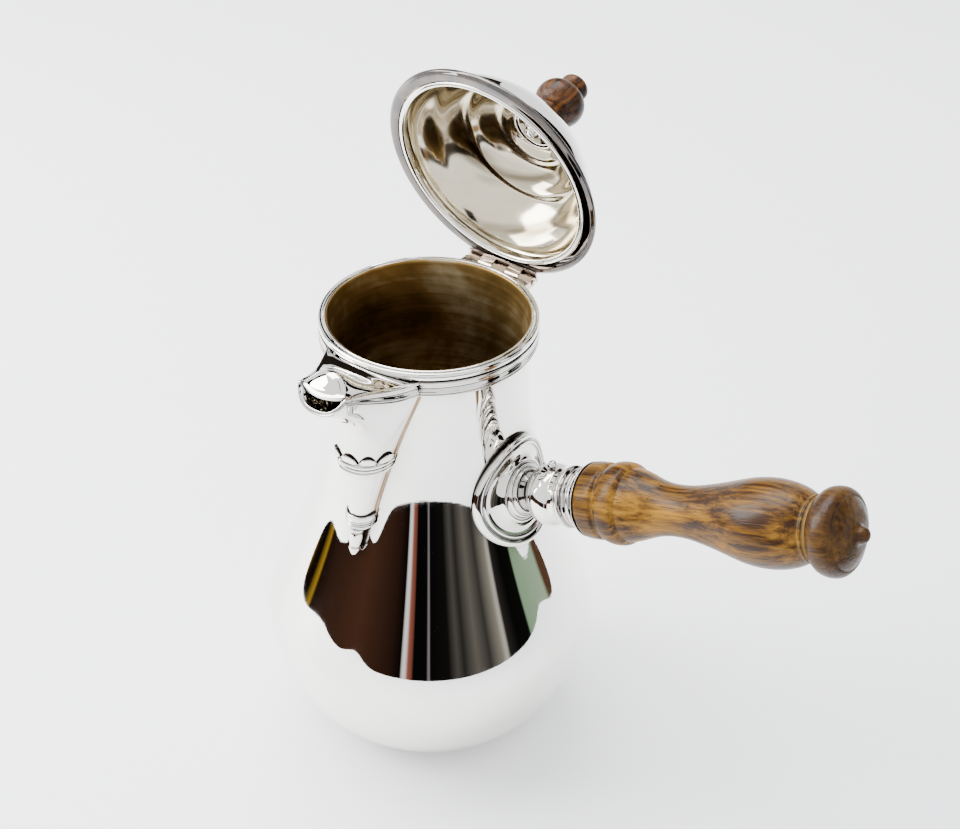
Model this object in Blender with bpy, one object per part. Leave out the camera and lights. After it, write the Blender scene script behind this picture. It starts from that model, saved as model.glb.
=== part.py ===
# Silver coffee pot with a turned wooden side handle, a covered pouring spout and a hinged dome lid.
# Metres, +Z up. The origin is the centre of the flat base. The spout points along -Y,
# the handle along +X, and the lid's hinge lies behind, along +Y.

import math

import bmesh
import bpy
import numpy as np
from mathutils import Matrix

GAP = 0.0003                  # between pieces that touch

# Vessel
POT_HEIGHT = 0.1655           # base to the rim's top
BASE_RADIUS = 0.0300
BELLY_RADIUS = 0.0570
BELLY_HEIGHT = 0.0485         # of the widest circle
NECK_RADIUS = 0.0325          # outside, at the narrowest
NECK_DROP = 0.0142            # of the narrowest circle, below the rim
NECK_PULL = 0.553             # how long the wall stays upright, as shares of the fall to the belly
SHOULDER_PULL = 0.131
RIM_FLARE = 0.0010            # how much the wall opens towards the rim
WALL = 0.0010

# Rim mouldings
RING_DEPTH = 0.0026
RING_THICKNESS = 0.0016
BAND_DEPTH = 0.0053
BAND_THICKNESS = 0.0016
MOUTH_BAND_THICKNESS = 0.0009
MOUTH_BAND_DEPTH = 0.0019

# Spout
SPOUT_TURN = math.radians(3)  # the spout sits a little round towards the handle
SPOUT_HALF_ANGLE = math.radians(30)
SPOUT_REACH = 0.0590          # pot's axis to the lip's outer face
SPOUT_END_STANDOFF = 0.00410  # wall to the sheet's lower end
SPOUT_HOLLOW = 0.0110         # how fast the nose line falls back under the lip
SPOUT_DEPTH = 0.0600          # rim to the sheet's lower end
SPOUT_END_WIDTH = 0.0076
SPOUT_SHEET = 0.0008
MOUTH_WIDTH = 0.0186          # over the lip band
MOUTH_LENGTH = 0.0045         # how far the mouth's round nose reaches back
MOUTH_DEPTH = 0.0052
LIP_RISE = 0.0018             # of the mouth's corners above the rim
HOOD_RISE = 0.0048
UPPER_GIRDLE_DROP = 0.0295
UPPER_GIRDLE_DEPTH = 0.0082
LOWER_GIRDLE_LIFT = 0.0007    # of its lower edge above the sheet's end
LOWER_GIRDLE_DEPTH = 0.0048
GIRDLE_THICKNESS = 0.0009
DROP_LENGTH = 0.0098
DROP_RADIUS = 0.0023

# Strainer, pierced in the wall behind the spout
STRAINER_HOLE_RADIUS = 0.0012
STRAINER_PITCH = 0.0042
STRAINER_DROP = 0.0130
STRAINER_ROWS = (4, 3, 4, 3)

# Lid
LID_OPEN = math.radians(74.6)
LID_OVERHANG = 0.0043         # of the flange beyond the rim band
LID_HEIGHT = 0.0298           # rim to the top of the dome
FLANGE_WIDTH = 0.0038
FLANGE_THICKNESS = 0.0022
BEZEL_WIDTH = 0.0019
DOME_STEP = 0.0016
LID_SHEET = 0.0009

# Hinge
HINGE_STANDOFF = 0.00295      # rim band's face to the pin
HINGE_DROP = 0.00257          # pin below the rim
HINGE_WIDTH = 0.0273
KNUCKLES = 5
KNUCKLE_RADIUS = 0.0016
PIN_RADIUS = 0.0008
PIN_CLEARANCE = 0.00008
POT_LEAF_DEPTH = 0.0058

# Knob
KNOB_RADIUS = 0.0086
KNOB_HEIGHT = 0.0228
BOLT_RADIUS = 0.0015
NUT_RADIUS = 0.0028
WASHER_RADIUS = 0.0085

# Handle, measured along its own axis from the wall
HANDLE_HEIGHT = 0.1116        # of the axis where it meets the wall
HANDLE_TILT = math.radians(18.7)
BOSS_RADIUS = 0.0189
BOSS_TOP = 0.0066
NECK_STEM_RADIUS = 0.0050
CUP_RADIUS = 0.0103
CUP_FLOOR = 0.0137
CUP_END = 0.0213
COLLAR_END = 0.0302
GRIP_LENGTH = 0.0954          # collar to the button's point
GRIP_RADIUS = 0.0134
GRIP_WAIST_RADIUS = 0.0080
TENON_RADIUS = 0.0074
CROSS_PIN_RADIUS = 0.0006
CROSS_PIN_PLACE = 0.0173

# Facets
ROUND = 40
LID_ROUND = 36
HANDLE_ROUND = 24
SMALL_ROUND = 16

rim_radius = NECK_RADIUS + RIM_FLARE
band_radius = rim_radius + GAP + BAND_THICKNESS
ring_radius = rim_radius + GAP + RING_THICKNESS
lid_radius = band_radius + LID_OVERHANG
hinge_reach = band_radius + HINGE_STANDOFF
band_top = RING_DEPTH + GAP


# Plain tools

def smooth(low, high, value):
    share = np.clip((np.asarray(value, float) - low) / (high - low), 0, 1)
    return share * share * (3 - 2 * share)


def bezier(points, count):
    t = np.linspace(0, 1, count)[:, None]
    a, b, c, d = (np.array(point, float) for point in points)
    return (1 - t) ** 3 * a + 3 * (1 - t) ** 2 * t * b + 3 * (1 - t) * t * t * c + t ** 3 * d


def arc(centre, radii, start, end, count):
    """Points on an ellipse, from the angle start to the angle end, in degrees."""
    angles = np.radians(np.linspace(start, end, count))
    return np.stack([centre[0] + radii[0] * np.cos(angles), centre[1] + radii[1] * np.sin(angles)], 1)


def inset(outline, distance):
    """An open outline moved sideways, to the left of its direction."""
    run = np.gradient(outline, axis=0)
    run /= np.linalg.norm(run, axis=1)[:, None]
    return outline + distance * np.stack([-run[:, 1], run[:, 0]], 1)


def material(name, colour, metallic, roughness):
    made = bpy.data.materials.new(name)
    made.use_nodes = True
    shader = made.node_tree.nodes["Principled BSDF"]
    shader.inputs["Base Color"].default_value = (*colour, 1)
    shader.inputs["Metallic"].default_value = metallic
    shader.inputs["Roughness"].default_value = roughness
    return made


def keep(name, mesh_maker, finish, parent=None):
    """Closes the bmesh into a named object on its parent's axis."""
    bmesh.ops.remove_doubles(mesh_maker, verts=mesh_maker.verts, dist=1e-7)
    bmesh.ops.recalc_face_normals(mesh_maker, faces=mesh_maker.faces)
    mesh = bpy.data.meshes.new(name)
    mesh_maker.to_mesh(mesh)
    mesh_maker.free()
    mesh.shade_smooth()
    mesh.set_sharp_from_angle(angle=math.radians(35))
    mesh.materials.append(finish)
    piece = bpy.data.objects.new(name, mesh)
    bpy.context.scene.collection.objects.link(piece)
    piece.parent = parent
    return piece


def empty(name, place, turn):
    axis = bpy.data.objects.new(name, None)
    axis.location = place
    axis.rotation_euler = turn
    bpy.context.scene.collection.objects.link(axis)
    return axis


def turned(outline, steps):
    """A closed outline of (radius, height) points, spun about Z."""
    shape = bmesh.new()
    corners = [shape.verts.new((radius, 0, height)) for radius, height in outline]
    edges = [shape.edges.new((a, b)) for a, b in zip(corners, corners[1:] + corners[:1]) if a.co.x or b.co.x]
    bmesh.ops.spin(shape, geom=corners + edges, cent=(0, 0, 0), axis=(0, 0, 1),
                   angle=math.tau, steps=steps, use_merge=True)
    return shape


def lofted(rings, folded=False):
    """A solid through closed rings of points. A folded ring is a thin sheet's section, capped in strips."""
    shape = bmesh.new()
    rows = [[shape.verts.new(point) for point in ring] for ring in rings]
    for row, after in zip(rows, rows[1:]):
        for i in range(len(row)):
            j = (i + 1) % len(row)
            shape.faces.new((row[i], row[j], after[j], after[i]))
    for row in (rows[0][::-1], rows[-1]):
        if not folded:
            shape.faces.new(row)
            continue
        last = len(row) - 1
        for i in range(len(row) // 2 - 1):
            shape.faces.new((row[i], row[i + 1], row[last - i - 1], row[last - i]))
    return shape


def sheet(upper, lower):
    """A thin solid between two grids of points of the same size."""
    return lofted([np.concatenate([above, below[::-1]]) for above, below in zip(upper, lower)], True)


def boolean(piece, cutter, operation="DIFFERENCE"):
    change = piece.modifiers.new(operation.title(), "BOOLEAN")
    change.operation = operation
    change.object = cutter
    cutter.hide_render = True
    cutter.display_type = "WIRE"


def rod(radius, start, end, steps, matrix):
    shape = turned([(0, start), (radius, start), (radius, end), (0, end)], steps)
    bmesh.ops.transform(shape, matrix=matrix, verts=shape.verts)
    return shape


def joined(*shapes):
    """Separate closed shapes in one bmesh."""
    whole = bmesh.new()
    for shape in shapes:
        spare = bpy.data.meshes.new("spare")
        shape.to_mesh(spare)
        shape.free()
        whole.from_mesh(spare)
        bpy.data.meshes.remove(spare)
    return whole


# The vessel's outer line, from the base up

def belly_line():
    """The part below the widest circle: an ellipse that meets the base's edge."""
    fall = math.acos(BASE_RADIUS / BELLY_RADIUS)
    return arc((0, BELLY_HEIGHT), (BELLY_RADIUS, BELLY_HEIGHT / math.sin(fall)), -math.degrees(fall), 0, 7)


def neck_line(count):
    """From the widest circle up to the neck's narrowest."""
    neck = POT_HEIGHT - NECK_DROP
    fall = neck - BELLY_HEIGHT
    return bezier([(BELLY_RADIUS, BELLY_HEIGHT), (BELLY_RADIUS, BELLY_HEIGHT + SHOULDER_PULL * fall),
                   (NECK_RADIUS, neck - NECK_PULL * fall), (NECK_RADIUS, neck)], count)


def flare_line(count):
    heights = np.linspace(POT_HEIGHT - NECK_DROP, POT_HEIGHT, count)
    rise = (heights - heights[0]) / NECK_DROP
    return np.stack([NECK_RADIUS + RIM_FLARE * rise ** 2, heights], 1)


wall_line = np.concatenate([belly_line(), neck_line(15)[1:], flare_line(4)[1:]])


def wall_radius(height):
    return np.interp(height, wall_line[:, 1], wall_line[:, 0])


def make_body(silver):
    inside = inset(wall_line, WALL)
    inside[-1, 1] = POT_HEIGHT
    inside = inside[inside[:, 1] > 1.5 * WALL]
    foot = (inside[0, 0] - WALL, WALL)
    outline = [(0, 0), *wall_line, *inside[::-1], foot, (0, WALL)]
    body = keep("pot_body", turned(outline, ROUND), silver)
    boolean(body, make_strainer_cutter())
    return body


def make_strainer_cutter():
    """Rows of short rods that cross the wall behind the spout."""
    rods = []
    for row, count in enumerate(STRAINER_ROWS):
        height = POT_HEIGHT - STRAINER_DROP - row * STRAINER_PITCH * 0.87
        for place in range(count):
            turn = (place - (count - 1) / 2) * STRAINER_PITCH / NECK_RADIUS
            level = Matrix.Translation((0, 0, height)) @ Matrix.Rotation(turn + SPOUT_TURN, 4, "Z")
            outward = level @ Matrix.Rotation(math.pi / 2, 4, "X")
            radius = wall_radius(height)
            rods.append(rod(STRAINER_HOLE_RADIUS, radius - 3 * WALL, radius + 2 * WALL, 8, outward))
    return keep("strainer_cutter", joined(*rods), bpy.data.materials["silver"])


def make_rim_ring(silver):
    """The round wire soldered round the mouth, its top level with the wall's."""
    inner = rim_radius + GAP
    top = arc((inner + RING_THICKNESS / 2, POT_HEIGHT - RING_DEPTH / 2),
              (RING_THICKNESS / 2, RING_DEPTH / 2), 80, -80, 5)
    outline = [(inner, POT_HEIGHT), *top, (inner, POT_HEIGHT - RING_DEPTH)]
    return keep("rim_ring", turned(outline, ROUND), silver)


def band_profile(thickness, top, depth):
    """The flat moulding with two reeds along its lower edge, as (outwards, height) points."""
    return np.array([(0, top), (thickness * 0.8, top), (thickness, top - 0.1 * depth),
                     (thickness * 0.75, top - 0.6 * depth), (thickness, top - 0.72 * depth),
                     (thickness, top - depth), (0, top - depth)])


def make_rim_band(silver, parent):
    """The side moulding, round the neck from one edge of the spout to the other."""
    spare = GAP / band_radius
    rings = []
    profile = band_profile(BAND_THICKNESS, POT_HEIGHT - band_top, BAND_DEPTH)
    for turn in np.linspace(SPOUT_HALF_ANGLE + spare, math.tau - SPOUT_HALF_ANGLE - spare, 36):
        radii = rim_radius + GAP + profile[:, 0]
        rings.append(np.stack([radii * math.sin(turn), -radii * math.cos(turn), profile[:, 1]], 1))
    return keep("rim_band", lofted(rings), silver, parent)


# The spout's plan outline: half of it, from the nose (0) to the wall (1)

def spout_plan(share, depth, cut):
    """(sideways, outwards) of the sheet's face at a depth below the rim, cut inwards by a distance."""
    share, depth = np.abs(share), np.maximum(depth, 0)
    mouth_low = MOUTH_DEPTH - LIP_RISE + MOUTH_BAND_DEPTH
    fall = np.exp(-np.maximum(depth - mouth_low, 0) / SPOUT_HOLLOW)
    lip_cut = MOUTH_BAND_THICKNESS + GAP
    end_reach = wall_radius(POT_HEIGHT - SPOUT_DEPTH) + SPOUT_END_STANDOFF
    reach = end_reach + (SPOUT_REACH - lip_cut - end_reach) * fall - cut
    left = np.clip(1 - (depth - band_top - BAND_DEPTH) / (SPOUT_DEPTH - band_top - BAND_DEPTH), 0, 1)
    root = rim_radius * math.sin(SPOUT_HALF_ANGLE)
    half = SPOUT_END_WIDTH / 2 + (root - SPOUT_END_WIDTH / 2) * left ** 1.4 - cut
    wall = np.sqrt((wall_radius(POT_HEIGHT - depth) + GAP) ** 2 - half ** 2)
    # Keyhole: a blunt nose, then a neck that opens out to the wall.
    mouth = MOUTH_WIDTH / 2 - lip_cut - cut
    back = reach - MOUTH_LENGTH
    turn = np.clip(share / 0.5, 0, 1) * math.pi / 2
    t = np.clip((share - 0.5) / 0.5, 0, 1)
    nose_x = mouth * np.sin(turn) ** 0.8
    nose_y = back + MOUTH_LENGTH * np.cos(turn) ** 0.8
    flank_x = (1 - t) ** 3 * mouth + 3 * (1 - t) ** 2 * t * mouth + 3 * (1 - t) * t * t * (
        mouth + 0.45 * (half - mouth)) + t ** 3 * half
    flank_y = (1 - t) ** 3 * back + 3 * (1 - t) ** 2 * t * (back - 0.3 * (back - wall)) + 3 * (1 - t) * t * t * (
        wall + 0.35 * (back - wall)) + t ** 3 * wall
    key_x = np.where(share < 0.5, nose_x, flank_x)
    key_y = np.where(share < 0.5, nose_y, flank_y)
    # Round: half an ellipse on the wall.
    turn = share * math.pi / 2
    round_x = half * np.sin(turn) ** 0.9
    round_y = wall + (reach - wall) * np.cos(turn) ** 0.9
    blend = smooth(0.004, 0.030, depth)
    return key_x + (round_x - key_x) * blend, key_y + (round_y - key_y) * blend


def lip_depth(share):
    """Depth of the lip's top edge below the rim: low at the nose, proud at the mouth's corners."""
    share = np.abs(share)
    nose = -LIP_RISE + MOUTH_DEPTH * (1 - np.clip(share / 0.4, 0, 1) ** 2) ** 1.2
    flank = -LIP_RISE + (band_top + LIP_RISE) * smooth(0.35, 0.93, share)
    return np.where(share < 0.4, nose, flank)


def spout_points(shares, depths, cut):
    across, out = spout_plan(shares, depths, cut)
    return np.stack([np.sign(shares) * across, -out, POT_HEIGHT - depths], -1)


shares = np.linspace(-1, 1, 25)


def make_spout_shell(silver, parent):
    outer, inner = [], []
    for level in np.linspace(0, 1, 11) ** 1.3:
        top = np.maximum(lip_depth(shares), -LIP_RISE) + GAP
        depths = top + (SPOUT_DEPTH - top) * level
        outer.append(spout_points(shares, depths, 0))
        inner.append(spout_points(shares, depths, SPOUT_SHEET))
    return keep("spout_shell", sheet(np.array(outer), np.array(inner)), silver, parent)


def make_lip_band(silver, parent):
    """The side moulding's run along the spout's edges and round its mouth."""
    run = np.linspace(-1, 1, 33)
    near_wall = smooth(0.3, 0.9, np.abs(run))
    top = lip_depth(run)
    base = spout_points(run, np.full(run.shape, band_top), 0)[:, :2]
    along = np.gradient(base, axis=0)
    outwards = np.stack([along[:, 1], -along[:, 0]], 1)
    outwards /= np.linalg.norm(outwards, axis=1)[:, None]
    radial = base / np.linalg.norm(base, axis=1)[:, None]
    end = smooth(0.85, 1, np.abs(run))[:, None]
    outwards = outwards + (radial - outwards) * end
    rings = []
    for i in range(len(run)):
        thickness = MOUTH_BAND_THICKNESS + (BAND_THICKNESS - MOUTH_BAND_THICKNESS) * near_wall[i]
        depth = MOUTH_BAND_DEPTH + (BAND_DEPTH - MOUTH_BAND_DEPTH) * near_wall[i]
        profile = band_profile(thickness, POT_HEIGHT - top[i], depth)
        places = base[i] + (profile[:, :1] + GAP) * outwards[i]
        rings.append(np.concatenate([places, profile[:, 1:]], 1))
    return keep("lip_band", lofted(rings), silver, parent)


def make_spout_hood(silver, parent):
    """The cover plate: level behind, swelling to a hood over the mouth."""
    across = np.linspace(-1, 1, 11)
    upper = []
    start = ring_radius + GAP
    for run in np.linspace(0, 1, 11):
        share = 0.88 - 0.48 * run
        edge_x, edge_y = spout_plan(share, 0.0, SPOUT_SHEET + GAP)
        edge_y = max(edge_y, math.sqrt(start ** 2 - edge_x ** 2))
        middle = start + (SPOUT_REACH - 0.0022 - start) * run
        y = edge_y + (middle - edge_y) * (1 - across ** 2)
        swell = HOOD_RISE * math.sin(math.pi * run ** 1.6) ** 2
        z = POT_HEIGHT - float(lip_depth(share)) + swell * (1 - across ** 2) + 0.001 * (1 - run) * (1 - across ** 2)
        z = z - 0.0008 * run ** 4 * (1 - across ** 2)
        upper.append(np.stack([across * edge_x, -y, z * np.ones_like(across)], 1))
    upper = np.array(upper)
    lower = upper - np.array([0, 0, SPOUT_SHEET])
    return keep("spout_hood", sheet(upper, lower), silver, parent)


def make_girdle(name, drop, depth, silver, parent):
    """A moulded strap round the spout, its ends at the wall."""
    run = np.linspace(-0.97, 0.97, 17)
    rings = []
    for share in run:
        level = np.array([drop, drop + 0.35 * depth, drop + 0.5 * depth, drop + depth])
        out = np.array([0.6, 0.7, 1, 0.8]) * GIRDLE_THICKNESS
        outer = spout_points(np.full(4, share), level, 0)
        ahead = spout_points(np.full(4, share + 0.01), level, 0) - outer
        normal = np.stack([ahead[:, 1], -ahead[:, 0]], 1)
        normal /= np.linalg.norm(normal, axis=1)[:, None]
        face, back = outer.copy(), outer.copy()
        face[:, :2] += normal * (GAP + out[:, None])
        back[:, :2] += normal * GAP
        rings.append(np.concatenate([face, back[::-1]]))
    return keep(name, lofted(rings), silver, parent)


def make_drop(silver, parent):
    """The turned drop that ends the spout, lying along the wall."""
    start = SPOUT_DEPTH + GAP
    high = wall_radius(POT_HEIGHT - start)
    low = wall_radius(POT_HEIGHT - start - DROP_LENGTH)
    lean = math.atan2(low - high, DROP_LENGTH)
    outline = [(0, 0), (DROP_RADIUS, 0), (DROP_RADIUS * 0.98, -0.3 * DROP_LENGTH),
               (DROP_RADIUS * 0.78, -0.62 * DROP_LENGTH), (DROP_RADIUS * 0.72, -0.78 * DROP_LENGTH),
               (DROP_RADIUS * 0.42, -0.93 * DROP_LENGTH), (0, -DROP_LENGTH)]
    shape = turned(outline, 12)
    place = Matrix.Translation((0, -(high + (DROP_RADIUS + GAP) / math.cos(lean)), POT_HEIGHT - start))
    bmesh.ops.transform(shape, matrix=place @ Matrix.Rotation(-lean, 4, "X"), verts=shape.verts)
    # The top is cut level where it meets the sheet.
    for corner in shape.verts:
        corner.co.z = min(corner.co.z, POT_HEIGHT - start)
    return keep("spout_drop", shape, silver, parent)


# Lid. Heights are from the rim, with the lid shut; the lid's axis is the hinge pin.

flange_inner = lid_radius - FLANGE_WIDTH
dome_foot = flange_inner + 0.0006


def lid_piece(name, outline, steps, finish, axis):
    shape = turned(outline, steps)
    bmesh.ops.translate(shape, vec=(0, -hinge_reach, HINGE_DROP), verts=shape.verts)
    return keep(name, shape, finish, axis)


def dome_line():
    """The dome's outer line, from its foot to the knob."""
    low = GAP + FLANGE_THICKNESS + GAP
    foot = (dome_foot - 0.9 * DOME_STEP, low + 1.7 * DOME_STEP)
    rise = LID_HEIGHT - foot[1]
    shoulder = bezier([foot, (0.955 * foot[0], foot[1] + 0.27 * rise), (0.48 * foot[0], foot[1] + 0.96 * rise),
                       (2 * BOLT_RADIUS, LID_HEIGHT)], 10)
    step = [(dome_foot, low), (dome_foot - 0.25 * DOME_STEP, low + DOME_STEP)]
    return np.array([*step, *shoulder])


def make_lid(silver, bright, axis):
    line = dome_line()
    inner = inset(line, LID_SHEET)
    inner[0] = (line[0, 0] - LID_SHEET, line[0, 1])
    hole = BOLT_RADIUS + GAP
    outline = [*line, (hole, LID_HEIGHT), (hole, LID_HEIGHT - LID_SHEET), *inner[::-1]]
    lid_piece("lid_dome", outline, LID_ROUND, silver, axis)

    middle = (lid_radius - FLANGE_THICKNESS / 2, GAP + FLANGE_THICKNESS / 2)
    edge = arc(middle, (FLANGE_THICKNESS / 2, FLANGE_THICKNESS / 2), 90, -90, 6)
    outline = [(flange_inner, GAP + FLANGE_THICKNESS), *edge, (flange_inner, GAP)]
    lid_piece("lid_flange", outline, LID_ROUND, silver, axis)

    outer = flange_inner - GAP
    outline = [(outer - BEZEL_WIDTH, GAP), (outer - BEZEL_WIDTH, GAP + FLANGE_THICKNESS),
               (outer, GAP + FLANGE_THICKNESS), (outer, GAP)]
    lid_piece("lid_bezel", outline, LID_ROUND, silver, axis)

    # Inside, a domed washer and a nut hold the knob's bolt.
    seat = LID_HEIGHT - LID_SHEET - GAP
    hole = BOLT_RADIUS + GAP
    crown = LID_HEIGHT - dome_height(WASHER_RADIUS)
    outline = [(hole, seat), (WASHER_RADIUS * 0.5, seat - 0.35 * crown), (WASHER_RADIUS, seat - crown - GAP),
               (WASHER_RADIUS, seat - crown - 3 * GAP), (WASHER_RADIUS * 0.5, seat - crown * 0.35 - 0.0014),
               (hole, seat - 0.0016)]
    lid_piece("knob_washer", outline, SMALL_ROUND, silver, axis)
    top = seat - 0.0016 - GAP
    outline = [(hole, top), (NUT_RADIUS, top), (NUT_RADIUS, top - 0.0012), (NUT_RADIUS * 0.8, top - 0.0024),
               (hole, top - 0.0032)]
    lid_piece("knob_nut", outline, SMALL_ROUND, bright, axis)
    outline = [(0, top - 0.0038), (BOLT_RADIUS, top - 0.0034), (BOLT_RADIUS, LID_HEIGHT + 0.45 * KNOB_HEIGHT),
               (0, LID_HEIGHT + 0.45 * KNOB_HEIGHT)]
    lid_piece("knob_bolt", outline, SMALL_ROUND, bright, axis)


def dome_height(radius):
    line = dome_line()[::-1]
    return float(np.interp(radius, line[:, 0], line[:, 1]))


def make_knob(wood, axis):
    """The turned knob: a squashed bulb and a button, bored for the bolt."""
    base = LID_HEIGHT + GAP
    bulb = arc((KNOB_RADIUS * 0.45, base + 0.48 * KNOB_HEIGHT), (KNOB_RADIUS * 0.55, 0.24 * KNOB_HEIGHT), -75, 75, 7)
    button = arc((KNOB_RADIUS * 0.25, base + 0.86 * KNOB_HEIGHT), (KNOB_RADIUS * 0.33, 0.11 * KNOB_HEIGHT), -70, 80, 5)
    bore = BOLT_RADIUS + GAP
    depth = LID_HEIGHT + 0.45 * KNOB_HEIGHT + GAP
    outline = [(bore, base), (0.42 * KNOB_RADIUS, base), *bulb, (0.42 * KNOB_RADIUS, base + 0.735 * KNOB_HEIGHT),
               *button, (0, base + KNOB_HEIGHT), (0, depth), (bore, depth)]
    return lid_piece("lid_knob", outline, SMALL_ROUND, wood, axis)


# Hinge: five knuckles on one pin, two of them the lid's. Its pieces are drawn about the pin, lid shut.

def along_pin(radius, start, end):
    return rod(radius, start, end, SMALL_ROUND, Matrix.Rotation(math.pi / 2, 4, "Y"))


def prism(profile, start, end):
    """A closed outline of (y, z) points, drawn out along X."""
    return lofted([[(x, y, z) for y, z in profile] for x in (start, end)])


def make_leaf(name, plate, first, profile, silver, parent):
    """A plate with every second knuckle, counted from the first, as one solid on a bored line."""
    leaf = keep(name, plate, silver, parent)
    pitch = HINGE_WIDTH / KNUCKLES
    knuckles = []
    for i in range(first, KNUCKLES, 2):
        start = -HINGE_WIDTH / 2 + i * pitch + GAP / 2
        knuckles.append(prism(profile, start, start + pitch - GAP))
    boolean(leaf, keep(f"{name}_knuckles", joined(*knuckles), silver, parent), "UNION")
    bore = along_pin(PIN_RADIUS + PIN_CLEARANCE, -HINGE_WIDTH, HINGE_WIDTH)
    boolean(leaf, keep(f"{name}_bore", bore, silver, parent))
    return leaf


def make_hinge(silver, lid_axis, pot_axis):
    half = HINGE_WIDTH / 2
    clear = KNUCKLE_RADIUS + GAP
    inner = ring_radius + 2 * GAP - hinge_reach
    outer = lid_radius - hinge_reach
    plate = prism([(inner, clear), (outer, clear), (outer, HINGE_DROP), (inner, HINGE_DROP)], -half, half)
    web = (clear + HINGE_DROP) / 2
    eye = arc((0, 0), (KNUCKLE_RADIUS, KNUCKLE_RADIUS), -180, 0, 9)
    profile = [*eye, (0.8 * outer, web), (-KNUCKLE_RADIUS, web)]
    make_leaf("hinge_lid_leaf", plate, 1, profile, silver, lid_axis)

    # The pot's leaf is a block whose inner face follows the rim band.
    turns = np.linspace(-1, 1, 9) * math.asin(half / (band_radius + GAP))
    curve = [((band_radius + GAP) * math.sin(turn), (band_radius + GAP) * math.cos(turn) - hinge_reach)
             for turn in turns]
    outline = [*curve, (half, -clear), (-half, -clear)]
    top = KNUCKLE_RADIUS - 2 * GAP
    rings = [[(x, y, z) for x, y in outline] for z in (KNUCKLE_RADIUS - POT_LEAF_DEPTH, top)]
    eye = arc((0, 0), (KNUCKLE_RADIUS, KNUCKLE_RADIUS), -90, 90, 9)
    foot = -clear - 0.5 * GAP
    profile = [*eye, (foot, 0.8 * KNUCKLE_RADIUS - 2 * GAP), (foot, -0.9 * KNUCKLE_RADIUS)]
    make_leaf("hinge_pot_leaf", lofted(rings), 0, profile, silver, pot_axis)
    keep("hinge_pin", along_pin(PIN_RADIUS, -half - GAP, half + GAP), silver, pot_axis)


# Handle. Its pieces are drawn along Z from the wall, and stand on the handle's axis.

def wall_sag(places):
    """How far along the handle's axis the wall lies at each (x, y) place beside it."""
    start = np.array([wall_radius(HANDLE_HEIGHT), 0, HANDLE_HEIGHT])
    along = np.array([math.cos(HANDLE_TILT), 0, math.sin(HANDLE_TILT)])
    down = np.array([math.sin(HANDLE_TILT), 0, -math.cos(HANDLE_TILT)])
    across = np.array([0, 1, 0])
    origin = start + places[:, :1] * down + places[:, 1:2] * across
    low, high = np.full(len(places), -BELLY_RADIUS), np.full(len(places), BOSS_RADIUS)
    for _ in range(40):
        middle = (low + high) / 2
        point = origin + middle[:, None] * along
        outside = np.hypot(point[:, 0], point[:, 1]) > wall_radius(point[:, 2])
        low, high = np.where(outside, low, middle), np.where(outside, middle, high)
    return (low + high) / 2


def make_boss(silver, axis):
    """The ringed boss, its back and its outer rings shaped to the wall."""
    scale = BOSS_RADIUS / 0.0189
    profile = [(18.9, 1.3), (18.3, 2.3), (17.3, 2.3), (16.6, 1.8), (15.8, 2.1), (14.6, 1.6), (12.2, 1.8),
               (10.4, 3.1), (9.0, 3.3), (8.7, 4.2), (7.4, 4.5), (7.1, 5.4), (5.9, 5.8)]
    rows = [(radius * scale / 1000, height / 1000) for radius, height in profile]
    seat = [(share * BOSS_RADIUS, 0) for share in (0, 0.25, 0.5, 0.75, 1)]
    outline = [*seat, *rows, (0.0054, BOSS_TOP), (0, BOSS_TOP)]
    shape = turned(outline, HANDLE_ROUND)
    places = np.array([corner.co[:] for corner in shape.verts])
    sag = wall_sag(places[:, :2])
    radii = np.hypot(places[:, 0], places[:, 1])
    back = places[:, 2] < 1e-6
    follow = np.where(back, 1, smooth(0.3 * BOSS_RADIUS, 0.75 * BOSS_RADIUS, radii))
    heights = places[:, 2] + sag * follow + np.where(back, GAP, 0)
    for corner, height in zip(shape.verts, heights):
        corner.co.z = height
    return keep("handle_boss", shape, silver, axis)


def make_socket(silver, axis):
    """The narrow stem and the round cup that the grip's tenon goes into, then its ringed collar."""
    stem = BOSS_TOP + GAP
    bore = TENON_RADIUS + GAP
    cup = arc((CUP_RADIUS - 0.0050, 0.0145), (0.0050, 0.0062), -75, 40, 6)
    outline = [(0, stem), (NECK_STEM_RADIUS, stem), (NECK_STEM_RADIUS, stem + 0.0008), *cup,
               (0.90 * CUP_RADIUS, CUP_END), (bore, CUP_END), (bore, CUP_FLOOR), (0, CUP_FLOOR)]
    socket = keep("handle_socket", turned(outline, HANDLE_ROUND), silver, axis)

    start = CUP_END + GAP
    length = COLLAR_END - start
    rings = [(0.88, 0), (0.98, 0.07), (0.99, 0.16), (0.89, 0.27), (0.87, 0.42), (0.91, 0.58), (1.01, 0.65),
             (1.01, 0.77), (1.16, 0.93), (1.17, 1)]
    outline = [(bore, start), *[(CUP_RADIUS * out, start + length * up) for out, up in rings], (bore, COLLAR_END)]
    keep("socket_collar", turned(outline, HANDLE_ROUND), silver, axis)
    return socket


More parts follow.
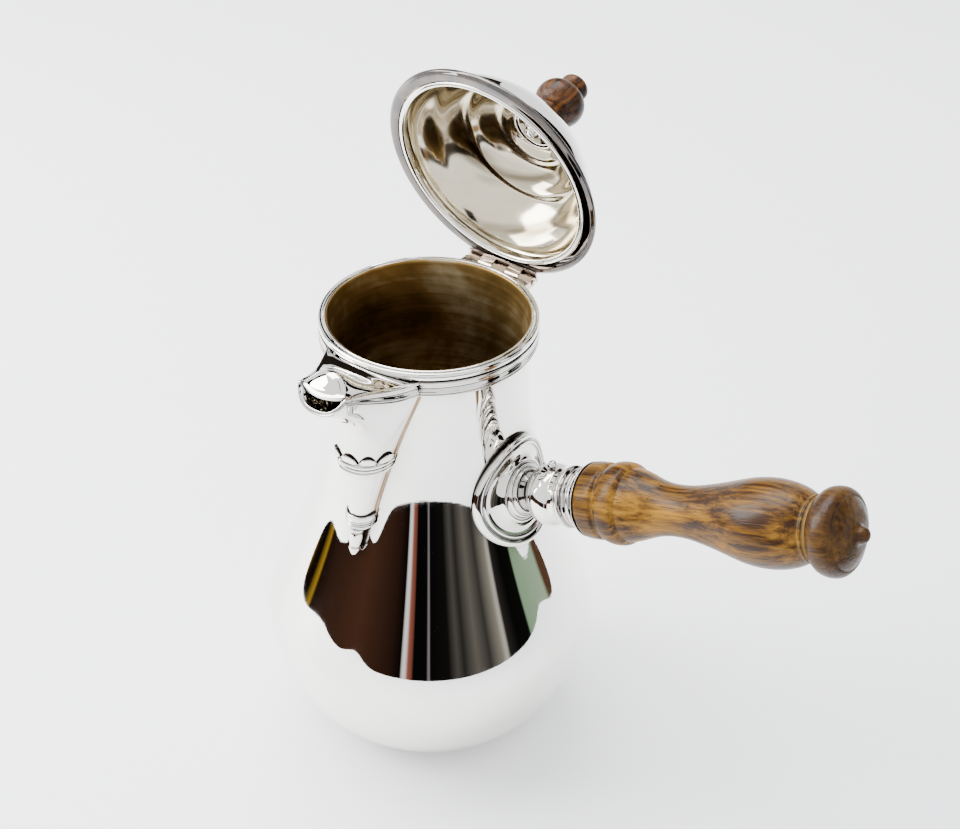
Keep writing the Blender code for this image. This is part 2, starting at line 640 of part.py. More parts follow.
def make_grip(wood, axis):
    """The turned grip: two rings, a slim waist, a full palm swell and a button, with a tenon inside."""
    start = COLLAR_END + GAP
    collar = 0.92 * GRIP_RADIUS

    def along(share):
        return start + GRIP_LENGTH * share

    rings = [(0.88 * GRIP_RADIUS, along(0)), (collar, along(0.01)), (collar, along(0.066)),
             (0.865 * GRIP_RADIUS, along(0.075)), (0.95 * GRIP_RADIUS, along(0.09)), (0.98 * GRIP_RADIUS, along(0.125)),
             (0.94 * GRIP_RADIUS, along(0.157)), (0.855 * GRIP_RADIUS, along(0.168))]
    palm = [(GRIP_WAIST_RADIUS + (0.85 * GRIP_RADIUS - GRIP_WAIST_RADIUS) * float(smooth(0.325, 0.17, share)),
             along(share)) for share in (0.20, 0.24, 0.28, 0.325)]
    palm += [(GRIP_WAIST_RADIUS + (GRIP_RADIUS - GRIP_WAIST_RADIUS) * float(smooth(0.325, 0.64, share)),
              along(share)) for share in (0.40, 0.48, 0.56, 0.64)]
    swell = arc((0.70 * GRIP_RADIUS, along(0.64)), (0.30 * GRIP_RADIUS, 0.172 * GRIP_LENGTH), 90, 0, 5)[::-1]
    swell = [(radius, height) for radius, height in swell[1:]]
    button = [(0.66 * GRIP_RADIUS, along(0.838)), (0.83 * GRIP_RADIUS, along(0.855)), (0.97 * GRIP_RADIUS, along(0.882)),
              (0.99 * GRIP_RADIUS, along(0.905)), (0.92 * GRIP_RADIUS, along(0.93)), (0.66 * GRIP_RADIUS, along(0.951)),
              (0.25 * GRIP_RADIUS, along(0.966)), (0.18 * GRIP_RADIUS, along(0.983)), (0, along(1))]
    tenon = CUP_FLOOR + GAP
    outline = [(0, tenon), (TENON_RADIUS, tenon), (TENON_RADIUS, start), *rings, *palm, *swell, *button]
    return keep("handle_grip", turned(outline, HANDLE_ROUND), wood, axis)


def make_cross_pin(silver, axis, *pieces):
    """The pin through the cup and the tenon, with a small round head on top."""
    side = Matrix.Translation((0, 0, CROSS_PIN_PLACE)) @ Matrix.Rotation(-math.pi / 2, 4, "Y")
    for piece in pieces:
        hole = rod(CROSS_PIN_RADIUS + GAP, -2 * CUP_RADIUS, 2 * CUP_RADIUS, 8, side)
        boolean(piece, keep(f"{piece.name}_pin_hole", hole, silver, axis))
    top = CUP_RADIUS + GAP
    outline = [(0, -top), (CROSS_PIN_RADIUS, -top), (CROSS_PIN_RADIUS, top), (0.0012, top + 0.0003),
               (0.0014, top + 0.0010), (0.0009, top + 0.0018), (0, top + 0.0020)]
    shape = turned(outline, 8)
    bmesh.ops.transform(shape, matrix=side, verts=shape.verts)
    return keep("handle_pin", shape, silver, axis)


def main():
    for old in list(bpy.data.objects):
        bpy.data.objects.remove(old)
    silver = material("silver", (0.86, 0.85, 0.82), 1, 0.08)
    bright = material("bright_silver", (0.90, 0.90, 0.88), 1, 0.05)
    wood = material("oiled_oak", (0.36, 0.19, 0.06), 0, 0.30)
    knob_wood = material("dark_oak", (0.16, 0.08, 0.03), 0, 0.40)

    make_body(silver)
    make_rim_ring(silver)
    spout_axis = empty("spout_axis", (0, 0, 0), (0, 0, SPOUT_TURN))
    make_rim_band(silver, spout_axis)
    make_lip_band(silver, spout_axis)
    make_spout_shell(silver, spout_axis)
    make_spout_hood(silver, spout_axis)
    make_girdle("spout_upper_girdle", UPPER_GIRDLE_DROP, UPPER_GIRDLE_DEPTH, silver, spout_axis)
    lower_drop = SPOUT_DEPTH - LOWER_GIRDLE_LIFT - LOWER_GIRDLE_DEPTH
    make_girdle("spout_lower_girdle", lower_drop, LOWER_GIRDLE_DEPTH, silver, spout_axis)
    make_drop(silver, spout_axis)

    pin_place = (0, hinge_reach, POT_HEIGHT - HINGE_DROP)
    pot_hinge_axis = empty("pot_hinge_axis", pin_place, (0, 0, 0))
    lid_axis = empty("lid_axis", pin_place, (-LID_OPEN, 0, 0))
    make_lid(silver, bright, lid_axis)
    make_knob(knob_wood, lid_axis)
    make_hinge(silver, lid_axis, pot_hinge_axis)

    wall_place = (wall_radius(HANDLE_HEIGHT), 0, HANDLE_HEIGHT)
    handle_axis = empty("handle_axis", wall_place, (0, math.pi / 2 - HANDLE_TILT, 0))
    make_boss(silver, handle_axis)
    socket = make_socket(silver, handle_axis)
    grip = make_grip(wood, handle_axis)
    make_cross_pin(silver, handle_axis, socket, grip)


main()
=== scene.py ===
# Look of the silver coffee pot: fine surfaces, finishes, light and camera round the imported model.
import math

import bmesh
import bpy
import numpy as np
from mathutils import Matrix, Vector


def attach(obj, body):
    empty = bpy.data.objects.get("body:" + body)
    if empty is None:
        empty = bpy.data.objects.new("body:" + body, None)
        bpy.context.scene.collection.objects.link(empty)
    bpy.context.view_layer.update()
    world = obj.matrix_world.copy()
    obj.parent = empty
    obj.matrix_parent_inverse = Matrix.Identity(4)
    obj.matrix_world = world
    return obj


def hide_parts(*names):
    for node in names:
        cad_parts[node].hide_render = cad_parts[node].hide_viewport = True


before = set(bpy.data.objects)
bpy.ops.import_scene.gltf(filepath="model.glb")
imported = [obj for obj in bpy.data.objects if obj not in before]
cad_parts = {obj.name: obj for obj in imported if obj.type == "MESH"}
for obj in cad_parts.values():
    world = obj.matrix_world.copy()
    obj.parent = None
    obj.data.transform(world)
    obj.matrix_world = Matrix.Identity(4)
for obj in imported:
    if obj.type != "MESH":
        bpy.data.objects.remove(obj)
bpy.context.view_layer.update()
print("stage: frame loaded")

# Sizes shared by several pieces, in metres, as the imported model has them.
gap = 0.0003
potHeight = 0.1655
rimRadius = 0.0335
bandTop = 0.0029
bandDepth = 0.0053
spoutTurn = math.radians(3)
spoutHalfAngle = math.radians(30)
handleHeight = 0.1116
handleTilt = math.radians(18.7)
hingeReach = 0.03835
hingeDrop = 0.00257
lidOpen = math.radians(74.6)


# Shape tools

def smooth(low, high, value):
    share = np.clip((np.asarray(value, float) - low) / (high - low), 0, 1)
    return share * share * (3 - 2 * share)


def bezier(points, count):
    t = np.linspace(0, 1, count)[:, None]
    a, b, c, d = (np.array(point, float) for point in points)
    return (1 - t) ** 3 * a + 3 * (1 - t) ** 2 * t * b + 3 * (1 - t) * t * t * c + t ** 3 * d


def arc(centre, radii, start, end, count):
    angles = np.radians(np.linspace(start, end, count))
    return np.stack([centre[0] + radii[0] * np.cos(angles), centre[1] + radii[1] * np.sin(angles)], 1)


def inset(outline, distance):
    run = np.gradient(outline, axis=0)
    run /= np.linalg.norm(run, axis=1)[:, None]
    return outline + distance * np.stack([-run[:, 1], run[:, 0]], 1)


# Each inner corner of an open outline becomes a small curve that starts and ends at most one radius away.
def rounded(outline, radius, count=5):
    outline = np.array(outline, float)
    steps = np.diff(outline, axis=0)
    lengths = np.linalg.norm(steps, axis=1)
    ways = steps / lengths[:, None]
    t = np.linspace(0, 1, count)[:, None]
    made = [outline[:1]]
    for i in range(1, len(outline) - 1):
        back = min(radius, 0.45 * lengths[i - 1])
        ahead = min(radius, 0.45 * lengths[i])
        start = outline[i] - back * ways[i - 1]
        end = outline[i] + ahead * ways[i]
        made.append((1 - t) ** 2 * start + 2 * t * (1 - t) * outline[i] + t * t * end)
    made.append(outline[-1:])
    return np.concatenate(made)


# A smooth line through a few points: each stretch is a cubic whose ends run along the neighbours' chord.
def through(points, count=8):
    points = np.array(points, float)
    spare = np.concatenate([2 * points[:1] - points[1:2], points, 2 * points[-1:] - points[-2:-1]])
    t = np.linspace(0, 1, count, endpoint=False)[:, None]
    made = []
    for i in range(1, len(spare) - 2):
        before, a, b, after = spare[i - 1:i + 3]
        made.append(a + 0.5 * t * (b - before) + t * t * (before - 2.5 * a + 2 * b - 0.5 * after)
                    + t ** 3 * 1.5 * (a - b) + t ** 3 * 0.5 * (after - before))
    made.append(points[-1:])
    return np.concatenate(made)


# Quads between neighbours in a table of vertex numbers.
def quads(table):
    table = np.asarray(table)
    return np.stack([table[:-1, :-1], table[:-1, 1:], table[1:, 1:], table[1:, :-1]], -1).reshape(-1, 4)


# The first column follows the last again, and the first row too when the outline is closed.
def wrapped(table, closed=False):
    if closed:
        table = np.concatenate([table, table[:1]])
    return np.concatenate([table, table[:, :1]], 1)


# A mesh from points and quads, moved into place. "place" keeps each point's position before the move.
def meshOf(name, points, faces, finishes, matrix=None, slots=None):
    points = np.asarray(points, float).reshape(-1, 3)
    faces = np.asarray(faces, np.int32)
    mesh = bpy.data.meshes.new(name)
    mesh.vertices.add(len(points))
    mesh.vertices.foreach_set("co", points.ravel().astype(np.float32))
    mesh.loops.add(faces.size)
    mesh.loops.foreach_set("vertex_index", faces.ravel())
    mesh.polygons.add(len(faces))
    mesh.polygons.foreach_set("loop_start", np.arange(0, faces.size, 4, dtype=np.int32))
    mesh.polygons.foreach_set("loop_total", np.full(len(faces), 4, np.int32))
    if slots is not None:
        mesh.polygons.foreach_set("material_index", np.asarray(slots, np.int32))
    mesh.update(calc_edges=True)
    local = mesh.attributes.new("place", "FLOAT_VECTOR", "POINT")
    local.data.foreach_set("vector", points.ravel().astype(np.float32))
    work = bmesh.new()
    work.from_mesh(mesh)
    bmesh.ops.remove_doubles(work, verts=work.verts, dist=1e-7)
    bmesh.ops.recalc_face_normals(work, faces=work.faces)
    if matrix is not None:
        bmesh.ops.transform(work, matrix=matrix, verts=work.verts)
    work.to_mesh(mesh)
    work.free()
    mesh.shade_smooth()
    mesh.set_sharp_from_angle(angle=math.radians(50))
    for finish in finishes:
        mesh.materials.append(finish)
    piece = bpy.data.objects.new(name, mesh)
    bpy.context.scene.collection.objects.link(piece)
    return piece


# An outline of (radius, height), closed or from axis to axis, spun about Z. lift shifts points along Z.
def lathe(name, outline, finishes, matrix=None, steps=160, lift=None, slotOfRow=None, closed=False):
    outline = np.array(outline, float)
    turns = np.linspace(0, math.tau, steps, endpoint=False)
    points = np.stack([outline[:, :1] * np.cos(turns), outline[:, :1] * np.sin(turns),
                       outline[:, 1:] * np.ones_like(turns)], -1)
    if lift is not None:
        points[..., 2] += lift(points)
    table = wrapped(np.arange(points.size // 3).reshape(points.shape[:2]), closed)
    faces = quads(table)
    slots = None if slotOfRow is None else np.repeat(slotOfRow[:len(table) - 1], steps)
    return meshOf(name, points, faces, finishes, matrix, slots)


# A thin sheet: an outer and an inner grid of points joined round all four edges.
def sheet(name, outer, inner, finishes, matrix):
    count = outer.size // 3
    table = np.arange(count).reshape(outer.shape[:2])
    back = table + count
    faces = [quads(table), quads(back[:, ::-1])]
    for edge in (np.s_[0], np.s_[-1], np.s_[:, 0], np.s_[:, -1]):
        faces.append(quads([table[edge], back[edge]]))
    points = np.concatenate([outer.reshape(-1, 3), inner.reshape(-1, 3)])
    return meshOf(name, points, np.concatenate(faces), finishes, matrix)


# A moulding: rings of points along a path, with each end closed by folding its ring in two.
def moulding(name, rings, finishes, matrix):
    rings = np.asarray(rings, float)
    table = wrapped(np.arange(rings.size // 3).reshape(rings.shape[:2]))
    faces = [quads(table)]
    half = rings.shape[1] // 2
    for row in (table[0, :-1], table[-1, :-1]):
        faces.append(quads([row[:half], row[::-1][:half]]))
    return meshOf(name, rings, np.concatenate(faces), finishes, matrix)


def fit(piece, body, node):
    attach(piece, body)
    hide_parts(node)
    return piece


# Finishes

def linear(hexColour):
    parts = np.array([int(hexColour[i:i + 2], 16) for i in (1, 3, 5)]) / 255
    return (*np.where(parts <= 0.04045, parts / 12.92, ((parts + 0.055) / 1.055) ** 2.4), 1)


class Finish:
    def __init__(self, name, colour, metallic, roughness):
        self.material = bpy.data.materials.new(name)
        self.material.use_nodes = True
        self.tree = self.material.node_tree
        self.shader = self.tree.nodes["Principled BSDF"]
        self.set("Base Color", linear(colour))
        self.set("Metallic", metallic)
        self.set("Roughness", roughness)

    def set(self, socket, value):
        self.shader.inputs[socket].default_value = value

    def add(self, kind, links=(), **values):
        node = self.tree.nodes.new("ShaderNode" + kind)
        for name, value in values.items():
            setattr(node, name, value)
        for socket, value in dict(links).items():
            if isinstance(value, bpy.types.NodeSocket):
                self.tree.links.new(value, node.inputs[socket])
            else:
                node.inputs[socket].default_value = value
        return node

    def link(self, output, socket):
        self.tree.links.new(output, self.shader.inputs[socket])

    # The point's place in its own frame, stretched by the given factors.
    def local(self, stretch=(1, 1, 1)):
        place = self.add("Attribute", attribute_name="place")
        return self.add("Mapping", {"Vector": place.outputs["Vector"], "Scale": stretch}).outputs["Vector"]

    def noise(self, vector, scale, detail=3, rough=0.5, distortion=0.0):
        links = {"Vector": vector, "Scale": scale, "Detail": detail, "Roughness": rough,
                 "Distortion": distortion}
        return self.add("TexNoise", links).outputs["Fac"]

    # A value carried from one span to another.
    def span(self, value, low, high, toLow, toHigh):
        links = {"Value": value, "From Min": low, "From Max": high, "To Min": toLow, "To Max": toHigh}
        return self.add("MapRange", links).outputs["Result"]

    def ramp(self, value, stops, interpolation="LINEAR"):
        node = self.add("ValToRGB", {"Fac": value})
        node.color_ramp.interpolation = interpolation
        while len(node.color_ramp.elements) < len(stops):
            node.color_ramp.elements.new(0.5)
        for element, (position, colour) in zip(node.color_ramp.elements, stops):
            element.position = position
            element.color = linear(colour)
        return node.outputs["Color"]

    def mix(self, factor, a, b):
        return self.add("Mix", {0: factor, 6: a, 7: b}, data_type="RGBA").outputs[2]

    def bump(self, height, strength, distance, under=None):
        links = {"Height": height, "Strength": strength, "Distance": distance}
        if under is not None:
            links["Normal"] = under
        return self.add("Bump", links).outputs["Normal"]


silverLook = dict(colour="#F7F5F0", roughness=0.012, smudge=0.035, waveScale=22, waveHeight=0.00005,
                  scratchScale=900, scratchHeight=0.0000012, tarnish="#B9A58A", ringColour="#5A4A2E",
                  grooveColour="#2A2019", grooveReach=0.0018)


# Polished silver, hand finished: a clear mirror with faint waves, hairline polishing marks and slight haze.
def makeSilver(name, wave=1.0, haze=1.0, tarnish=0.0, groove=0.0, rings=0.0, **changes):
    look = dict(silverLook, **changes)
    finish = Finish(name, look["colour"], 1, look["roughness"])
    place = finish.local()
    smear = finish.noise(place, 55, 4, 0.6)
    rough = finish.span(smear, 0.45, 0.85, look["roughness"], look["roughness"] + look["smudge"] * haze)
    finish.link(rough, "Roughness")
    waves = finish.noise(place, look["waveScale"], 1, 0.4)
    bent = finish.bump(waves, 1, look["waveHeight"] * wave)
    marks = finish.noise(finish.local((0.12, 0.12, 1)), look["scratchScale"], 2, 0.7)
    finish.link(finish.bump(marks, 1, look["scratchHeight"], bent), "Normal")
    spots = finish.noise(place, 90, 5, 0.65)
    amount = finish.span(spots, 0.45, 0.75, 0.02 + 0.5 * tarnish, 0.10 + tarnish)
    shade = finish.mix(amount, linear(look["colour"]), linear(look["tarnish"]))
    if rings:
        # Brown tarnish left in broken rings by the spinning tool.
        reach = finish.add("VectorMath", {0: finish.local((1, 1, 0))}, operation="LENGTH").outputs["Value"]
        across = finish.add("CombineXYZ", {"X": reach}).outputs["Vector"]
        strayed = finish.local((0.3, 0.3, 0.3))
        swept = finish.add("VectorMath", {0: across, 1: strayed}, operation="ADD").outputs["Vector"]
        bands = finish.span(finish.noise(swept, 190, 2, 0.5), 0.46, 0.66, 0, rings)
        shade = finish.mix(bands, shade, linear(look["ringColour"]))
    if groove:
        # Old polish and tarnish stay in the grooves between mouldings; the darkening by occlusion is also
        # painted shade.
        bare = finish.add("AmbientOcclusion", {"Distance": look["grooveReach"]}, samples=8).outputs["AO"]
        shade = finish.mix(finish.span(bare, 0.52, 1.0, groove, 0), shade, linear(look["grooveColour"]))
    finish.link(shade, "Base Color")
    return finish.material


insideLook = dict(dark="#66501F", mid="#9C7E4A", light="#D2C6A0", lines=420, blotch=26)


# The unpolished inside: silver darkened brown by coffee, with level brush marks.
def makeInside():
    look = insideLook
    finish = Finish("coffeeStainedSilver", look["mid"], 1, 0.3)
    lines = finish.noise(finish.local((0.05, 0.05, 1)), look["lines"], 3, 0.6)
    blotch = finish.noise(finish.local(), look["blotch"], 5, 0.6, 0.4)
    blend = finish.add("Math", {0: lines, 1: 0.35, 2: blotch}, operation="MULTIPLY_ADD")
    shade = finish.span(blend.outputs[0], 0.48, 0.88, 0, 1)
    finish.link(finish.ramp(shade, [(0, look["dark"]), (0.5, look["mid"]), (1, look["light"])]), "Base Color")
    finish.link(finish.span(blotch, 0.3, 0.7, 0.34, 0.50), "Roughness")
    finish.link(finish.bump(lines, 0.6, 0.00002), "Normal")
    return finish.material


woodLook = dict(light="#8C6219", mid="#5C3C08", dark="#2A1604", pore="#0C0502", dust="#A89060",
                dustReach=0.0014, ring=0.0024, side=(-0.65, -0.76, 0.03), poreScale=1500,
                buttonStart=0.1070, buttonShade=0.72)


# Turned oak under old oil: growth rings cut by the turning, dark pores along local Z, dusty grooves, and
# painted shade on the button end.
def makeWood(name, look, coat):
    finish = Finish(name, look["mid"], 0, 0.42)
    place = finish.local()
    warp = finish.noise(finish.local((1, 1, 0.3)), 75, 3, 0.55)
    # Each ring is a bent plane across the blank: an oval on the swell, lines at the sides.
    depth = finish.add("VectorMath", {0: place, 1: look["side"]}, operation="DOT_PRODUCT").outputs["Value"]
    turns = finish.span(depth, 0, look["ring"], 0, math.tau)
    bent = finish.add("Math", {0: warp, 1: 8.0, 2: turns}, operation="MULTIPLY_ADD").outputs[0]
    wave = finish.add("Math", {0: bent}, operation="SINE").outputs[0]
    streak = finish.noise(finish.local((1, 1, 0.05)), 620, 3, 0.6)
    both = finish.add("Math", {0: wave, 1: 0.20, 2: streak}, operation="MULTIPLY_ADD").outputs[0]
    tone = finish.span(both, 0.24, 0.72, 0, 1)
    colour = finish.ramp(tone, [(0, look["dark"]), (0.40, look["mid"]), (1, look["light"])])
    pores = finish.noise(finish.local((1, 1, 0.045)), look["poreScale"], 2, 0.6)
    colour = finish.mix(finish.span(pores, 0.60, 0.70, 0, 0.8), colour, linear(look["pore"]))
    patches = finish.noise(finish.local((1, 1, 0.5)), 42, 3, 0.6)
    colour = finish.mix(finish.span(patches, 0.45, 0.75, 0, 0.22), colour, linear(look["dark"]))
    # The grip's button end, beyond buttonStart along local Z, is darkened as painted shade.
    parts = finish.add("SeparateXYZ", {"Vector": place})
    button = look["buttonStart"]
    buttonEndShade = finish.span(parts.outputs["Z"], button, button + 0.006, 0, look["buttonShade"])
    colour = finish.mix(buttonEndShade, colour, linear(look["dark"]))
    bare = finish.add("AmbientOcclusion", {"Distance": look["dustReach"]}, samples=8).outputs["AO"]
    colour = finish.mix(finish.span(bare, 0.45, 0.80, 0.75, 0), colour, linear(look["dust"]))
    finish.link(colour, "Base Color")
    finish.link(finish.span(both, 0.3, 0.7, 0.30, 0.48), "Roughness")
    finish.set("Specular IOR Level", 0.16)
    finish.set("Coat Weight", coat)
    finish.set("Coat Roughness", 0.12)
    finish.link(finish.bump(finish.span(pores, 0.5, 0.68, 1, 0), 0.7, 0.00008), "Normal")
    return finish.material


# Body silver: darkened softly within 9 mm of boss, spout, seams and rim, as painted shade.
silver = makeSilver("polishedSilver", groove=0.6, grooveReach=0.009, grooveColour="#5E5140")
# Moulding silver: darkened in its fine grooves, as painted shade together with tarnish.
silverTight = makeSilver("polishedSilverMoulding", wave=0.5, haze=0.8, tarnish=0.10, groove=0.95)
silverDeep = makeSilver("polishedSilverDeepMoulding", wave=0.6, haze=0.8, tarnish=0.12, groove=1.0,
                        grooveReach=0.0045)
silverBright = makeSilver("brightSilver", wave=0.3, haze=0.4)
# Flange silver: dark blue-grey base colour as painted shade under the lid's rim, with some real tarnish and
# haze.
shadedFlangeSilver = makeSilver("tarnishedShadedSilver", wave=0.8, haze=2.0, tarnish=0.25, groove=0.9, colour="#3C424D")
# Hinge silver: pinkish base colour as a painted reflection of the room, painted shade in its hollows; haze
# and tarnish are wear.
hingeSilver = makeSilver("wornHingeSilverPinkReflection", wave=0.5, haze=3.0, tarnish=0.45, groove=0.45,
                         colour="#EBDDD2", roughness=0.08)
seamSolder = makeSilver("agedSolder", wave=0.5, haze=4.0, tarnish=0.4, colour="#6B5440")
silverInside = makeInside()
gripWood = makeWood("oiledOak", woodLook, 0.06)
knobLook = dict(woodLook, light="#5E3814", mid="#3C210A", dark="#1A0D05", dust="#6B5234", buttonStart=0.2)
knobWood = makeWood("darkOak", knobLook, 0.06)
print("stage: finishes made")


# Vessel

vessel = dict(baseRadius=0.0300, bellyRadius=0.0570, bellyHeight=0.0485, neckRadius=0.0325, neckDrop=0.0142,
              neckPull=0.553, shoulderPull=0.131, flare=0.0010, wall=0.0010)


def wallLine():
    v = vessel
    fall = math.acos(v["baseRadius"] / v["bellyRadius"])
    wide, middle = v["bellyRadius"], v["bellyHeight"]
    belly = arc((0, middle), (wide, middle / math.sin(fall)), -math.degrees(fall), 0, 70)
    neck = potHeight - v["neckDrop"]
    rise = neck - middle
    side = bezier([(wide, middle), (wide, middle + v["shoulderPull"] * rise),
                   (v["neckRadius"], neck - v["neckPull"] * rise), (v["neckRadius"], neck)], 150)
    heights = np.linspace(neck, potHeight, 24)
    flare = np.stack([v["neckRadius"] + v["flare"] * ((heights - neck) / v["neckDrop"]) ** 2, heights], 1)
    return np.concatenate([belly, side[1:], flare[1:]])


wall = wallLine()


def wallRadius(height):
    return np.interp(height, wall[:, 1], wall[:, 0])


strainer = dict(holeRadius=0.0012, pitch=0.0042, drop=0.0130, rows=(4, 3, 4, 3))


def makeBody():
    v = vessel
    inner = inset(wall, v["wall"])
    inner = inner[(inner[:, 1] > 2.2 * v["wall"]) & (inner[:, 1] < potHeight - 0.0002)]
    foot = arc((inner[0, 0] - 0.0012, inner[0, 1]), (0.0012, inner[0, 1] - v["wall"]), 0, -90, 8)
    edge = arc((rimRadius - v["wall"] / 2, potHeight - 0.0003), (v["wall"] / 2, 0.0003), 0, 180, 9)
    base = rounded([(0, 0), (0.97 * v["baseRadius"], 0), (v["baseRadius"], 0.0004), tuple(wall[2])], 0.0008)
    outside = np.concatenate([base, wall[3:-1], edge])
    inside = np.concatenate([inner[::-1], foot, [(0, v["wall"])]])
    rows = np.concatenate([np.zeros(len(outside) - 4, int), np.ones(len(inside) + 4, int)])
    body = lathe("potBody", np.concatenate([outside, inside]), [silver, silverInside], steps=192,
                 slotOfRow=rows)
    cutter = bmesh.new()
    for row, count in enumerate(strainer["rows"]):
        height = potHeight - strainer["drop"] - row * strainer["pitch"] * 0.87
        for place in range(count):
            turn = (place - (count - 1) / 2) * strainer["pitch"] / v["neckRadius"]
            level = Matrix.Translation((0, 0, height)) @ Matrix.Rotation(turn + spoutTurn, 4, "Z")
            outward = level @ Matrix.Translation((0, -v["neckRadius"], 0)) \
                @ Matrix.Rotation(math.pi / 2, 4, "X")
            bmesh.ops.create_cone(cutter, cap_ends=True, segments=20, radius1=strainer["holeRadius"],
                                  radius2=strainer["holeRadius"], depth=6 * v["wall"], matrix=outward)
    mesh = bpy.data.meshes.new("strainerHoles")
    cutter.to_mesh(mesh)
    cutter.free()
    holes = bpy.data.objects.new("strainerHoles", mesh)
    bpy.context.scene.collection.objects.link(holes)
    cut = body.modifiers.new("holes", "BOOLEAN")
    cut.object = holes
    cut.operation = "DIFFERENCE"
    with bpy.context.temp_override(object=body, active_object=body, selected_objects=[body]):
        bpy.ops.object.modifier_apply(modifier="holes")
    bpy.data.objects.remove(holes)
    return fit(body, "pot", "pot_body")


rim = dict(ringDepth=0.0026, ringThickness=0.0016, bandThickness=0.0016, mouthBandThickness=0.0009,
           mouthBandDepth=0.0019)
bandRadius = rimRadius + gap + rim["bandThickness"]


def makeRimRing():
    inner = rimRadius + gap
    middle = (inner + rim["ringThickness"] / 2, potHeight - rim["ringDepth"] / 2)
    bulge = arc(middle, (rim["ringThickness"] / 2, rim["ringDepth"] / 2), 100, -100, 24)
    foot = potHeight - rim["ringDepth"] + 0.0003
    outline = rounded([(inner, foot), (inner, potHeight - 0.0002), *bulge], 0.0002, 3)
    ring = lathe("rimRing", outline, [silverBright], closed=True, steps=192)
    return fit(ring, "pot", "rim_ring")


# Section of the side moulding: a bead, a hollow, then two fine reeds, as (outwards, height).
def bandSection(thickness, top, depth):
    bead = arc((0.72 * thickness, top - 0.10 * depth), (0.28 * thickness, 0.10 * depth), 90, -60, 7)
    hollow = through([(0.80 * thickness, top - 0.20 * depth), (0.52 * thickness, top - 0.36 * depth),
                      (0.55 * thickness, top - 0.50 * depth), (0.74 * thickness, top - 0.61 * depth)], 4)
    reeds = [arc((0.72 * thickness, top - middle * depth), (0.26 * thickness, 0.075 * depth), 75, -75, 6)
             for middle in (0.74, 0.91)]
    return np.concatenate([[(0, top)], bead, hollow, *reeds, [(0, top - depth)]])


def makeRimBand(turnMatrix):
    half = spoutHalfAngle + gap / bandRadius
    turns = np.linspace(half, math.tau - half, 180)
    section = bandSection(rim["bandThickness"], potHeight - bandTop, bandDepth)
    radii = rimRadius + gap + section[:, 0]
    rings = np.stack([radii * np.sin(turns)[:, None], -radii * np.cos(turns)[:, None],
                      section[:, 1] * np.ones((len(turns), 1))], -1)
    return fit(moulding("rimBand", rings, [silverTight], turnMatrix), "pot", "rim_band")


# Spout: half its plan outline, from the nose (share 0) to the wall (share 1), at each depth below the rim

spout = dict(reach=0.0590, endReach=0.0422, hollow=0.0110, depth=0.0600, endWidth=0.0076, sheet=0.0008,
             mouthWidth=0.0186, mouthLength=0.0045, mouthDepth=0.0052, lipRise=0.0018, seamWidth=0.0007)


def spoutPlan(share, depth, cut):
    s = spout
    share, depth = np.abs(share), np.maximum(depth, 0)
    mouthLow = s["mouthDepth"] - s["lipRise"] + rim["mouthBandDepth"]
    fall = np.exp(-np.maximum(depth - mouthLow, 0) / s["hollow"])
    lipCut = rim["mouthBandThickness"] + gap
    reach = s["endReach"] + (s["reach"] - lipCut - s["endReach"]) * fall - cut
    left = np.clip(1 - (depth - bandTop - bandDepth) / (s["depth"] - bandTop - bandDepth), 0, 1)
    root = rimRadius * math.sin(spoutHalfAngle)
    half = s["endWidth"] / 2 + (root - s["endWidth"] / 2) * left ** 1.4 - cut
    back = np.sqrt((wallRadius(potHeight - depth) + gap) ** 2 - half ** 2)
    mouth = s["mouthWidth"] / 2 - lipCut - cut
    start = reach - s["mouthLength"]
    turn = np.clip(share / 0.5, 0, 1) * math.pi / 2
    t = np.clip((share - 0.5) / 0.5, 0, 1)
    noseX = mouth * np.sin(turn) ** 0.8
    noseY = start + s["mouthLength"] * np.cos(turn) ** 0.8
    first, second, third, last = (1 - t) ** 3, 3 * (1 - t) ** 2 * t, 3 * (1 - t) * t * t, t ** 3
    flankX = first * mouth + second * mouth + third * (mouth + 0.45 * (half - mouth)) + last * half
    flankY = first * start + second * (start - 0.3 * (start - back)) \
        + third * (back + 0.35 * (start - back)) + last * back
    keyX, keyY = np.where(share < 0.5, noseX, flankX), np.where(share < 0.5, noseY, flankY)
    turn = share * math.pi / 2
    roundX = half * np.sin(turn) ** 0.9
    roundY = back + (reach - back) * np.cos(turn) ** 0.9
    blend = smooth(0.004, 0.030, depth)
    return keyX + (roundX - keyX) * blend, keyY + (roundY - keyY) * blend


def lipDepth(share):
    share = np.abs(share)
    nose = -spout["lipRise"] + spout["mouthDepth"] * (1 - np.clip(share / 0.4, 0, 1) ** 2) ** 1.2
    flank = -spout["lipRise"] + (bandTop + spout["lipRise"]) * smooth(0.35, 0.93, share)
    return np.where(share < 0.4, nose, flank)


def spoutPoints(shares, depths, cut):
    across, out = spoutPlan(shares, depths, cut)
    return np.stack([np.sign(shares) * across, -out, potHeight - depths], -1)


def makeShell(turnMatrix):
    shares = np.linspace(-1, 1, 161)
    levels = np.linspace(0, 1, 90)[:, None] ** 1.3
    top = np.maximum(lipDepth(shares), -spout["lipRise"]) + gap
    depths = top + (spout["depth"] - top) * levels
    shares = shares * np.ones_like(depths)
    shell = sheet("spoutShell", spoutPoints(shares, depths, 0), spoutPoints(shares, depths, spout["sheet"]),
                  [silver], turnMatrix)
    return fit(shell, "pot", "spout_shell")


